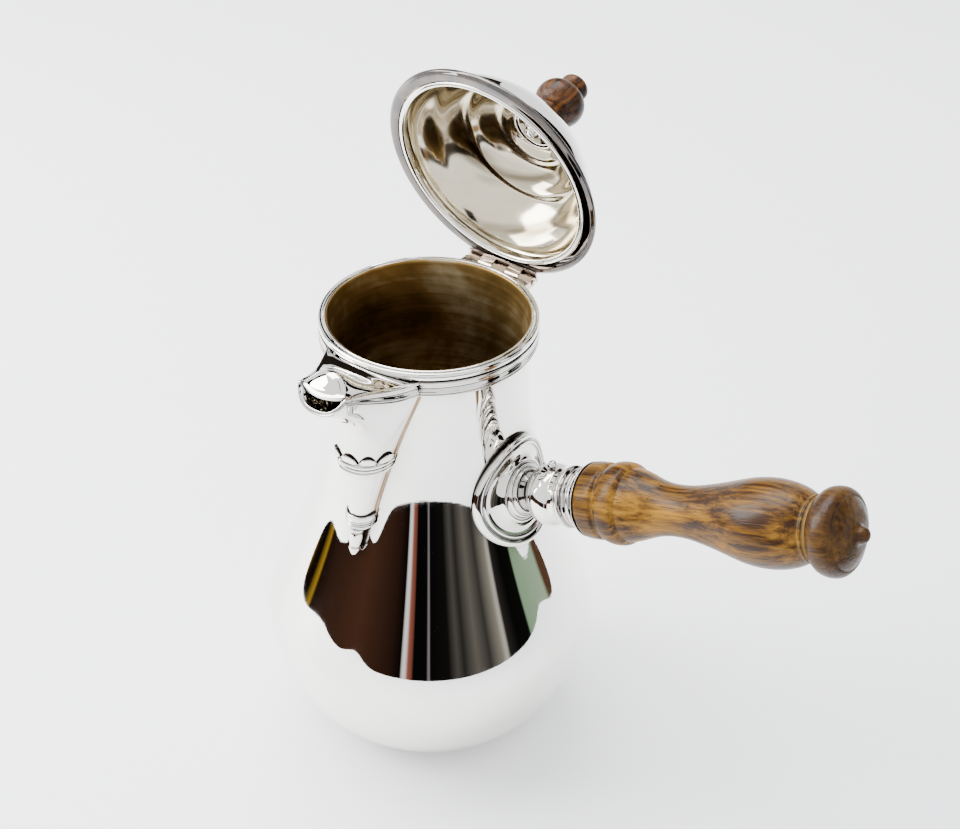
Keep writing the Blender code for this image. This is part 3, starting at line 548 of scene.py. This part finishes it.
def makeLipBand(turnMatrix):
    run = np.linspace(-1, 1, 221)
    nearWall = smooth(0.3, 0.9, np.abs(run))
    top = lipDepth(run)
    base = spoutPoints(run, np.full(run.shape, bandTop), 0)[:, :2]
    along = np.gradient(base, axis=0)
    outwards = np.stack([along[:, 1], -along[:, 0]], 1)
    outwards /= np.linalg.norm(outwards, axis=1)[:, None]
    radial = base / np.linalg.norm(base, axis=1)[:, None]
    outwards = outwards + (radial - outwards) * smooth(0.85, 1, np.abs(run))[:, None]
    thickness = rim["mouthBandThickness"] + (rim["bandThickness"] - rim["mouthBandThickness"]) * nearWall
    depth = rim["mouthBandDepth"] + (bandDepth - rim["mouthBandDepth"]) * nearWall
    rings = []
    for i in range(len(run)):
        section = bandSection(thickness[i], potHeight - top[i], depth[i])
        places = base[i] + (section[:, :1] + gap) * outwards[i]
        rings.append(np.concatenate([places, section[:, 1:]], 1))
    return fit(moulding("lipBand", rings, [silverTight], turnMatrix), "pot", "lip_band")


hood = dict(rise=0.0048, wallRise=0.0014, noseFall=0.0008, noseInset=0.0018, lastShare=0.40,
            eyeRise=0.00008, eyePlace=0.66, eyeWidth=0.60, eyeLength=0.24)


def makeHood(turnMatrix):
    across = np.linspace(-1, 1, 81)
    run = np.linspace(0, 1, 101)[:, None]
    start = bandRadius + gap
    trial = np.linspace(0.7, 1, 400)
    trialX, trialY = spoutPlan(trial, np.zeros_like(trial), 0)
    first = trial[np.argmin(np.abs(np.hypot(trialX, trialY) - start))]
    share = first + (hood["lastShare"] - first) * run
    edgeX, edgeY = spoutPlan(share, np.zeros_like(share), -0.0001)
    edgeY = np.maximum(edgeY, np.sqrt(start ** 2 - edgeX ** 2))
    middle = start + (spout["reach"] - hood["noseInset"] - start) * run
    crown = 1 - across ** 2
    y = edgeY + (middle - edgeY) * crown
    swell = hood["rise"] * np.sin(math.pi * run ** 1.6) ** 2
    z = potHeight - lipDepth(share) \
        + (swell + hood["wallRise"] * (1 - run) - hood["noseFall"] * run ** 4) * crown
    # A raised eye-shaped panel on the hood's crown.
    eye = np.hypot(across / hood["eyeWidth"], (run - hood["eyePlace"]) / hood["eyeLength"])
    z = z + hood["eyeRise"] * smooth(1.06, 0.88, eye)
    upper = np.stack([across * edgeX, -y, z], -1)
    lower = upper - np.array([0, 0, spout["sheet"]])
    return fit(sheet("spoutHood", upper, lower, [silverDeep], turnMatrix), "pot", "spout_hood")


# Dark solder line where the spout's edges meet the wall: a thin rod laid in the corner.
def makeSeams(turnMatrix):
    depths = np.linspace(bandTop + bandDepth, spout["depth"] - 0.0006, 90)
    turns = np.linspace(0, math.tau, 10, endpoint=False)
    for side, name in ((-1, "seamLeft"), (1, "seamRight")):
        path = spoutPoints(np.full(len(depths), float(side)), depths, 0)
        way = np.gradient(path, axis=0)
        way /= np.linalg.norm(way, axis=1)[:, None]
        away = path * (1, 1, 0)
        away /= np.linalg.norm(away, axis=1)[:, None]
        across = np.cross(way, away)
        width = spout["seamWidth"]
        rings = path[:, None] + width * (0.45 * np.cos(turns)[:, None] * away[:, None]
                                         + np.sin(turns)[:, None] * across[:, None])
        piece = moulding(name, rings, [seamSolder], turnMatrix)
        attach(piece, "pot")


girdles = (dict(name="upperGirdle", node="spout_upper_girdle", drop=0.0295, depth=0.0082, scallops=5),
           dict(name="lowerGirdle", node="spout_lower_girdle", drop=0.0545, depth=0.0048, scallops=0))


# Straps round the spout: fine reeds, and a scalloped upper edge on the upper one.
def makeGirdle(name, node, drop, depth, scallops, turnMatrix):
    thickness = 0.0009
    run = np.linspace(-0.97, 0.97, 201)
    wave = np.abs(np.sin(run / 0.97 * math.pi * scallops / 2 + math.pi * scallops / 2))
    topShift = 0.34 * depth * (1 - wave ** 0.7) if scallops else 0 * run
    lobe = 0.45 + 0.75 * wave if scallops else 1 + 0 * run
    cut = np.concatenate([[(0.0, 0.0), (0.45, 0.0), (0.62, 0.03), (0.62, 0.10), (0.40, 0.15)],
                          arc((0.62, 0.47), (0.36, 0.075), 80, -80, 6) * (1, -1) + (0, 0.94),
                          arc((0.55, 0.65), (0.30, 0.06), 80, -80, 6) * (1, -1) + (0, 1.30),
                          arc((0.62, 0.82), (0.36, 0.075), 80, -80, 6) * (1, -1) + (0, 1.64),
                          [(0.40, 0.93), (0.45, 1.0), (0.0, 1.0)]])
    rings = []
    for i, share in enumerate(run):
        level = drop + topShift[i] * np.clip(1 - cut[:, 1] / 0.40, 0, 1) + depth * cut[:, 1]
        outer = spoutPoints(np.full(len(level), share), level, 0)
        ahead = spoutPoints(np.full(len(level), share + 0.01), level, 0) - outer
        normal = np.stack([ahead[:, 1], -ahead[:, 0]], 1)
        normal /= np.linalg.norm(normal, axis=1)[:, None]
        swell = np.where(cut[:, 1:] < 0.39, lobe[i], 1)
        outer[:, :2] += normal * (gap + thickness * cut[:, :1] * swell)
        rings.append(outer)
    return fit(moulding(name, rings, [silverDeep], turnMatrix), "pot", node)


drop = dict(length=0.0098, radius=0.0023)


def makeDrop(turnMatrix):
    start = spout["depth"] + gap
    high, low = wallRadius(potHeight - start), wallRadius(potHeight - start - drop["length"])
    lean = math.atan2(low - high, drop["length"])
    r, h = drop["radius"], drop["length"]
    outline = [(0, 0.0006), (0.9 * r, 0.0006), (r, 0), (0.98 * r, -0.06 * h), (0.88 * r, -0.09 * h),
               (0.98 * r, -0.13 * h), (0.96 * r, -0.30 * h), (0.80 * r, -0.55 * h), (0.66 * r, -0.64 * h),
               (0.78 * r, -0.70 * h), (0.72 * r, -0.78 * h), (0.58 * r, -0.84 * h), (0.42 * r, -0.92 * h),
               (0.22 * r, -0.98 * h), (0, -h)]
    top = Matrix.Translation((0, -(high + (r + gap) / math.cos(lean)), potHeight - start - 0.0004))
    matrix = turnMatrix @ top @ Matrix.Rotation(-lean, 4, "X")
    piece = lathe("spoutDrop", rounded(outline, 0.0005), [silverDeep], matrix, steps=48)
    return fit(piece, "pot", "spout_drop")


spoutMatrix = Matrix.Rotation(spoutTurn, 4, "Z")
makeBody()
makeRimRing()
makeRimBand(spoutMatrix)
makeLipBand(spoutMatrix)
makeShell(spoutMatrix)
makeSeams(spoutMatrix)
makeHood(spoutMatrix)
for girdle in girdles:
    makeGirdle(turnMatrix=spoutMatrix, **girdle)
makeDrop(spoutMatrix)
print("stage: vessel and spout made")


# Handle, drawn along Z from the wall

handle = dict(bossRadius=0.0189, bossTop=0.0066, stemRadius=0.0050, cupRadius=0.0103, cupFloor=0.0137,
              cupEnd=0.0213, collarEnd=0.0302, gripLength=0.0954, gripRadius=0.0134, waistRadius=0.0080,
              tenonRadius=0.0074, pinRadius=0.0006, pinPlace=0.0173)
handleMatrix = Matrix.Translation((float(wallRadius(handleHeight)), 0, handleHeight)) \
    @ Matrix.Rotation(math.pi / 2 - handleTilt, 4, "Y")


# How far along the handle's axis the wall lies at each place beside it, by halving.
def wallSag(x, y):
    along = np.array([math.cos(handleTilt), 0, math.sin(handleTilt)])
    down = np.array([math.sin(handleTilt), 0, -math.cos(handleTilt)])
    start = np.array([float(wallRadius(handleHeight)), 0, handleHeight])
    origin = start + x[..., None] * down + y[..., None] * np.array([0, 1, 0])
    low, high = np.full(x.shape, -0.06), np.full(x.shape, 0.02)
    for _ in range(40):
        middle = (low + high) / 2
        point = origin + middle[..., None] * along
        outside = np.hypot(point[..., 0], point[..., 1]) > wallRadius(point[..., 2])
        low, high = np.where(outside, low, middle), np.where(outside, middle, high)
    return (low + high) / 2


def makeBoss():
    r = handle["bossRadius"]
    face = [(18.9, 0.5), (18.9, 1.5), (18.4, 2.3), (17.5, 2.5), (16.9, 1.9), (16.5, 1.6), (16.1, 2.1),
            (15.5, 2.2), (15.1, 1.6), (14.0, 1.45), (12.6, 1.6), (11.3, 2.3), (10.6, 3.0), (10.1, 3.2),
            (9.7, 2.9), (9.2, 3.0), (8.9, 3.6), (8.5, 4.1), (8.0, 3.9), (7.7, 4.1), (7.3, 4.8),
            (6.8, 5.0), (6.4, 4.8), (6.1, 5.1), (5.6, 5.8), (5.2, 6.4)]
    face = through(np.array(face) / 1000, 4)
    back = np.stack([np.linspace(0, r - 0.0001, 24), np.zeros(24)], 1)
    outline = np.concatenate([back, face, [(0.0048, handle["bossTop"]), (0, handle["bossTop"])]])
    backRows = len(back)

    def lift(points):
        sag = wallSag(points[..., 0], points[..., 1])
        follow = smooth(0.3 * r, 0.75 * r, np.hypot(points[..., 0], points[..., 1]))
        follow[:backRows] = 1
        spare = np.zeros_like(follow)
        spare[:backRows] = gap
        return sag * follow + spare
    boss = lathe("handleBoss", outline, [silverDeep], handleMatrix, lift=lift)
    return fit(boss, "pot", "handle_boss")


def makeSocket():
    h = handle
    stem = h["bossTop"] + gap
    cup = arc((h["cupRadius"] - 0.0050, 0.0145), (0.0050, 0.0062), -75, 40, 24)
    bore = h["tenonRadius"] + gap
    neck, lip, end = h["stemRadius"], 0.90 * h["cupRadius"], h["cupEnd"]
    outline = [(0, stem), (neck, stem), (neck, stem + 0.0006), (0.9 * neck, stem + 0.0010), *cup,
               (0.87 * h["cupRadius"], end - 0.0010), (lip, end - 0.0004), (lip, end), (bore, end),
               (bore, h["cupFloor"]), (0, h["cupFloor"])]
    socket = lathe("handleSocket", rounded(outline, 0.0003), [silver], handleMatrix, steps=128)
    return fit(socket, "pot", "handle_socket")


def makeCollar():
    h = handle
    start = h["cupEnd"] + gap
    length = h["collarEnd"] - start
    bore = h["tenonRadius"] + gap
    line = [(0.88, 0), (0.95, 0.03), (0.98, 0.09), (0.97, 0.16), (0.90, 0.21), (0.86, 0.25),
            (0.90, 0.30), (0.92, 0.35), (0.89, 0.40), (0.86, 0.46), (0.88, 0.54), (0.95, 0.58),
            (1.00, 0.64), (1.01, 0.71), (0.98, 0.77), (0.97, 0.80), (1.02, 0.86), (1.10, 0.92),
            (1.15, 0.955), (1.165, 0.98), (1.15, 1)]
    face = through([(h["cupRadius"] * out, start + length * up) for out, up in line], 4)
    outline = np.concatenate([[(bore, start)], face, [(bore, h["collarEnd"])]])
    collar = lathe("socketCollar", outline, [silverDeep], handleMatrix, steps=128, closed=True)
    return fit(collar, "pot", "socket_collar")


def makeGrip():
    h = handle
    start, r, length = h["collarEnd"] + gap, h["gripRadius"], h["gripLength"]
    waist = h["waistRadius"] / r
    line = [(0.87, 0.002), (0.905, 0.010), (0.915, 0.022), (0.915, 0.050), (0.905, 0.062),
            (0.875, 0.069), (0.858, 0.075), (0.875, 0.081), (0.925, 0.088), (0.960, 0.100),
            (0.978, 0.118), (0.975, 0.134), (0.955, 0.148), (0.905, 0.158), (0.865, 0.164),
            (0.858, 0.170), (0.840, 0.185), (0.775, 0.215), (0.690, 0.250), (0.622, 0.290),
            (waist, 0.335), (0.615, 0.385), (0.680, 0.440), (0.775, 0.500), (0.885, 0.560),
            (0.965, 0.610), (1.0, 0.655), (0.995, 0.700), (0.945, 0.745), (0.865, 0.780), (0.775, 0.803),
            (0.735, 0.811), (0.725, 0.815), (0.755, 0.820), (0.760, 0.826), (0.720, 0.831),
            (0.700, 0.834), (0.725, 0.838), (0.775, 0.842), (0.850, 0.850), (0.930, 0.863),
            (0.978, 0.880), (0.990, 0.900), (0.965, 0.918), (0.900, 0.931), (0.840, 0.936),
            (0.800, 0.937), (0.720, 0.945), (0.560, 0.955), (0.380, 0.961), (0.250, 0.966),
            (0.195, 0.974), (0.180, 0.984), (0.130, 0.994), (0.060, 0.9985), (0, 1)]
    face = through([(r * out, start + length * up) for out, up in line], 5)
    tenon = h["cupFloor"] + gap
    outline = np.concatenate([[(0, tenon), (h["tenonRadius"], tenon), (h["tenonRadius"], start)], face])
    grip = lathe("handleGrip", outline, [gripWood], handleMatrix, steps=128)
    return fit(grip, "pot", "handle_grip")


def makePin():
    h = handle
    top = h["cupRadius"] + gap
    outline = [(0, -top), (h["pinRadius"], -top), (h["pinRadius"], top - 0.0004), (0.0010, top - 0.0002),
               (0.0014, top + 0.0005), (0.0013, top + 0.0012), (0.0008, top + 0.0018), (0, top + 0.0020)]
    side = handleMatrix @ Matrix.Translation((0, 0, h["pinPlace"])) @ Matrix.Rotation(-math.pi / 2, 4, "Y")
    pin = lathe("handlePin", rounded(outline, 0.0003), [silverTight], side, steps=32)
    return fit(pin, "pot", "handle_pin")


makeBoss()
makeSocket()
makeCollar()
makeGrip()
makePin()
print("stage: handle made")


# Lid, drawn shut with heights from the rim, then turned open on its pin

lid = dict(radius=0.0397, height=0.0298, flangeWidth=0.0038, flangeThickness=0.0022, bezelWidth=0.0019,
           step=0.0016, sheet=0.0009, boltRadius=0.0015, nutRadius=0.0028, nutHeight=0.0032,
           washerRadius=0.0085, washerDepth=0.0016, knobRadius=0.0086, knobHeight=0.0228,
           ridges=((0.0295, 0.0022, 0.0007), (0.0215, 0.0016, 0.0009), (0.0120, 0.0018, 0.0006)))
lidMatrix = Matrix.Translation((0, hingeReach, potHeight - hingeDrop)) @ Matrix.Rotation(-lidOpen, 4, "X") \
    @ Matrix.Translation((0, -hingeReach, hingeDrop))


def domeLine():
    d = lid
    footRadius = d["radius"] - d["flangeWidth"] + 0.0006
    low = gap + d["flangeThickness"] + gap
    step = d["step"]
    foot = (footRadius - 0.9 * step, low + 1.7 * step)
    rise = d["height"] - foot[1]
    shoulder = bezier([foot, (0.955 * foot[0], foot[1] + 0.27 * rise),
                       (0.48 * foot[0], foot[1] + 0.96 * rise), (2 * d["boltRadius"], d["height"])], 90)
    edge = rounded([(footRadius, low), (footRadius, low + 0.4 * step),
                    (footRadius - 0.25 * step, low + 0.9 * step),
                    (footRadius - 0.8 * step, low + 1.15 * step), foot, tuple(shoulder[3])], 0.0005)
    return np.concatenate([edge, shoulder[4:]])


def makeDome():
    line = domeLine()
    inner = inset(line, lid["sheet"])
    inner = inner[inner[:, 1] > line[0, 1] + 0.0006]
    # Spun steps inside: three shallow rings, the smallest one round the nut.
    ridge = sum(rise * np.exp(-((inner[:, 0] - place) / width) ** 2) for place, width, rise in lid["ridges"])
    inner[:, 1] -= ridge
    inner = np.concatenate([[(line[0, 0] - lid["sheet"], line[0, 1])], inner])
    hole = lid["boltRadius"] + gap
    bore = [(hole, lid["height"]), (hole, lid["height"] - lid["sheet"])]
    outline = np.concatenate([line, bore, inner[::-1]])
    rows = np.concatenate([np.zeros(len(line) + 1, int), np.ones(len(inner) + 1, int)])
    dome = lathe("lidDome", outline, [silver, silverLining], lidMatrix, steps=192, closed=True,
                 slotOfRow=rows)
    return fit(dome, "lid", "lid_dome")


def makeFlange():
    thick, outer = lid["flangeThickness"], lid["radius"]
    inner = outer - lid["flangeWidth"]
    edge = arc((outer - 0.45 * thick, gap + 0.55 * thick), (0.45 * thick, 0.45 * thick), 90, -35, 16)
    under = [(outer - 0.0007, gap + 0.0003), (outer - 0.0011, gap), (inner + 0.0012, gap),
             (inner, gap + 0.0003)]
    outline = np.concatenate([[(inner, gap + thick)], edge, under])
    flange = lathe("lidFlange", rounded(outline, 0.0002, 3), [shadedFlangeSilver], lidMatrix, steps=192, closed=True)
    return fit(flange, "lid", "lid_flange")


def makeBezel():
    outer = lid["radius"] - lid["flangeWidth"] - gap
    inner = outer - lid["bezelWidth"]
    thick = lid["flangeThickness"]
    outline = rounded([(inner, gap + thick), (outer, gap + thick), (outer, gap + 0.0003),
                       (outer - 0.0008, gap), (inner + 0.0006, gap), (inner, gap + 0.0005),
                       (inner, gap + thick)], 0.0003)
    bezel = lathe("lidBezel", outline, [silverBright], lidMatrix, steps=192)
    return fit(bezel, "lid", "lid_bezel")


def makeFixings():
    d = lid
    seat = d["height"] - d["sheet"] - gap
    line = domeLine()[::-1]
    wide = d["washerRadius"]
    crown = d["height"] - float(np.interp(wide, line[:, 0], line[:, 1]))
    hole = d["boltRadius"] + gap
    outline = [(hole, seat), (wide * 0.5, seat - 0.35 * crown), (wide, seat - crown - gap),
               (wide, seat - crown - 3 * gap), (wide * 0.9, seat - 0.9 * crown - 0.0010),
               (wide * 0.8, seat - 0.75 * crown - 0.0008), (wide * 0.5, seat - 0.35 * crown - 0.0013),
               (hole, seat - d["washerDepth"]), (hole, seat)]
    washer = lathe("knobWasher", rounded(outline, 0.0003), [silverDeep], lidMatrix, steps=96)
    fit(washer, "lid", "knob_washer")
    top = seat - d["washerDepth"] - gap
    low = top - d["nutHeight"]
    dome = arc((0, top - 0.0012), (d["nutRadius"], 0.0020), 0, -60, 10)
    outline = np.concatenate([[(hole, top), (d["nutRadius"], top)], dome, [(hole, low), (hole, top)]])
    nut = lathe("knobNut", rounded(outline, 0.0002), [silverBright], lidMatrix, steps=64)
    fit(nut, "lid", "knob_nut")
    end = d["height"] + 0.45 * d["knobHeight"]
    outline = [(0, low - 0.0006), (0.0010, low - 0.0005), (d["boltRadius"], low - 0.0001),
               (d["boltRadius"], end), (0, end)]
    bolt = lathe("knobBolt", rounded(outline, 0.0002), [silverBright], lidMatrix, steps=48)
    fit(bolt, "lid", "knob_bolt")


def makeKnob():
    r, h = lid["knobRadius"], lid["knobHeight"]
    base = lid["height"] + gap
    bulb = arc((r * 0.45, base + 0.48 * h), (r * 0.55, 0.24 * h), -80, 80, 40)
    button = arc((r * 0.25, base + 0.86 * h), (r * 0.33, 0.11 * h), -75, 85, 30)
    bore = lid["boltRadius"] + gap
    depth = lid["height"] + 0.45 * h + gap
    outline = [(bore, base), (0.52 * r, base), (0.53 * r, base + 0.04 * h), (0.42 * r, base + 0.09 * h),
               (0.40 * r, base + 0.17 * h), *bulb, (0.40 * r, base + 0.735 * h), *button,
               (0, base + h), (0, depth), (bore, depth), (bore, base)]
    knob = lathe("lidKnob", rounded(outline, 0.0006), [knobWood], lidMatrix, steps=96)
    return fit(knob, "lid", "lid_knob")


silverLining = makeSilver("liningSilver", wave=1.6, haze=1.5, tarnish=0.30, colour="#E2D9C0",
                          roughness=0.11, rings=0.8)
makeDome()
makeFlange()
makeBezel()
makeFixings()
makeKnob()
for node in ("hinge_lid_leaf", "hinge_pot_leaf", "hinge_pin"):
    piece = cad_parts[node]
    piece.data.materials.clear()
    piece.data.materials.append(hingeSilver)
print("stage: lid and hinge made")


# Stage: pale table, a low dark room seen only in the silver, soft light, camera

stage = dict(floor="#F4F5F6", glow=0.4, cool="#D9DEE6", size=12.0, roomRadius=0.300, roomLow=0.031,
             roomHigh=0.120, roomStart=-66, roomEnd=134)


def makeFloor():
    half = stage["size"]
    points = np.array([(-half, -half, 0), (half, -half, 0), (half, half, 0), (-half, half, 0)])
    finish = Finish("paleTable", stage["floor"], 0, 0.5)
    finish.set("Emission Color", linear(stage["floor"]))
    finish.set("Emission Strength", stage["glow"])
    place = finish.add("Attribute", attribute_name="place")
    parts = finish.add("SeparateXYZ", {"Vector": place.outputs["Vector"]})
    share = finish.span(parts.outputs["X"], 0.02, 0.6, 0, 1)
    finish.link(finish.mix(share, linear(stage["floor"]), linear(stage["cool"])), "Base Color")
    floor = meshOf("floor", points, [(0, 1, 2, 3)], [finish.material])
    floor.location.z = -0.0002


# Dark and coloured things in the room beyond the table, as bands round the pot, only mirrored in it.
def makeRoom():
    start, end = stage["roomStart"], stage["roomEnd"]
    turns = np.linspace(start, end, 201)
    low = stage["roomLow"] - 0.032 * smooth(-30, start, turns) + 0.014 * np.exp(-((turns + 8) / 8) ** 2) \
        - 0.022 * smooth(112, end, turns)
    levels = np.linspace(0, 1, 12)[:, None]
    height = low + (stage["roomHigh"] - low) * levels
    angle = np.radians(turns) * np.ones_like(height)
    points = np.stack([stage["roomRadius"] * np.sin(angle), -stage["roomRadius"] * np.cos(angle), height], -1)
    finish = Finish("darkRoom", "#000000", 0, 1)
    place = finish.add("Attribute", attribute_name="place")
    parts = finish.add("SeparateXYZ", {"Vector": place.outputs["Vector"]})
    flipped = finish.add("Math", {0: parts.outputs["Y"], 1: -1.0}, operation="MULTIPLY").outputs[0]
    turn = finish.add("Math", {0: parts.outputs["X"], 1: flipped}, operation="ARCTAN2").outputs[0]
    share = finish.span(turn, math.radians(start), math.radians(end), 0, 1)
    bands = [(0, "#C29A1E"), (0.022, "#1D130C"), (0.05, "#0E0B0A"), (0.075, "#A88426"),
             (0.085, "#20150F"), (0.13, "#33211A"), (0.28, "#4A3023"), (0.40, "#2A1A14"),
             (0.430, "#0B0909"), (0.438, "#FFFFFF"), (0.447, "#F4E8EC"), (0.450, "#A0604E"),
             (0.464, "#7A4438"), (0.468, "#0A090A"), (0.510, "#0C0B0B"), (0.514, "#A8A4A6"),
             (0.518, "#0B0A0B"), (0.575, "#151312"), (0.60, "#4E4B48"), (0.62, "#2A2826"),
             (0.66, "#66625C"), (0.70, "#3A3836"), (0.74, "#8A867C"), (0.755, "#C9C6BC"),
             (0.765, "#2A2726"), (0.80, "#0B0B0A"), (0.845, "#10120E"), (0.85, "#8FAE8E"),
             (0.95, "#A9C2A4"), (0.965, "#5A4030")]
    glow = finish.add("Emission", {"Color": finish.ramp(share, bands), "Strength": 1.0})
    out = finish.tree.nodes["Material Output"]
    finish.tree.links.new(glow.outputs[0], out.inputs["Surface"])
    table = np.arange(points.size // 3).reshape(points.shape[:2])
    room = meshOf("roomScreen", points, quads(table), [finish.material])
    room.visible_camera = False
    room.visible_diffuse = False
    room.visible_shadow = False
    room.visible_transmission = False


def makeLight(name, place, target, size, power, colour="#FFFFFF"):
    data = bpy.data.lights.new(name, "AREA")
    data.shape = "RECTANGLE"
    data.size, data.size_y = size
    data.energy = power
    data.color = linear(colour)[:3]
    lamp = bpy.data.objects.new(name, data)
    bpy.context.scene.collection.objects.link(lamp)
    aim = Vector(target) - Vector(place)
    lamp.matrix_world = Matrix.Translation(place) @ aim.to_track_quat("-Z", "Y").to_matrix().to_4x4()


def makeWorld():
    world = bpy.data.worlds.new("paleStudio")
    world.use_nodes = True
    background = world.node_tree.nodes["Background"]
    background.inputs["Color"].default_value = linear("#F8FAFD")
    background.inputs["Strength"].default_value = 1.8
    bpy.context.scene.world = world


# One dark thing of the upper room, as a flat card that faces the pot and is seen only in the silver.
def makeShade(name, turn, rise, distance, width, height, colour):
    x, y = width / 2, height / 2
    points = np.array([(-x, -y, 0), (x, -y, 0), (x, y, 0), (-x, y, 0)])
    finish = Finish(name, "#000000", 0, 1)
    glow = finish.add("Emission", {"Color": linear(colour), "Strength": 1.0})
    finish.tree.links.new(glow.outputs[0], finish.tree.nodes["Material Output"].inputs["Surface"])
    turn, rise = math.radians(turn), math.radians(rise)
    way = Vector((math.sin(turn) * math.cos(rise), -math.cos(turn) * math.cos(rise), math.sin(rise)))
    matrix = Matrix.Translation(way * distance + Vector((0, 0, 0.12))) \
        @ way.to_track_quat("Z", "Y").to_matrix().to_4x4()
    card = meshOf(name, points, [(0, 1, 2, 3)], [finish.material], matrix)
    for ray in ("camera", "diffuse", "shadow", "transmission"):
        setattr(card, "visible_" + ray, False)


# Name, turn and rise in degrees, distance, width, height, colour.
shades = (("photographer", 36, 52, 0.9, 0.20, 0.30, "#141517"),
          ("doorRight", 102, 22, 1.0, 0.24, 0.80, "#17120F"),
          ("cupboardRight", 128, 26, 1.0, 0.34, 0.95, "#221812"),
          ("shelfBack", 160, 30, 1.0, 0.40, 0.90, "#14110F"),
          ("curtainLeft", -80, 30, 1.0, 0.26, 0.70, "#1B1815"),
          ("cupboardBack", -140, 26, 1.0, 0.50, 0.60, "#2A241E"),
          ("ceilingBeam", 70, 66, 1.1, 0.10, 0.70, "#1C1A18"))

makeFloor()
makeRoom()
for shade in shades:
    makeShade(*shade)
makeWorld()
makeLight("overhead", (-0.35, 0.15, 1.1), (0, 0, 0.1), (0.9, 0.7), 20)
makeLight("window", (-0.9, -0.5, 0.7), (0, 0, 0.1), (0.8, 0.9), 34)

camera = bpy.data.objects.new("camera", bpy.data.cameras.new("camera"))
camera.data.lens = 65.6
camera.data.sensor_width = 36
camera.location = (0.28917, -0.37019, 0.46393)
camera.rotation_euler = [math.radians(angle) for angle in (54.2344, -0.7356, 36.4849)]
bpy.context.scene.collection.objects.link(camera)
bpy.context.scene.camera = camera
print("stage: light and camera set")
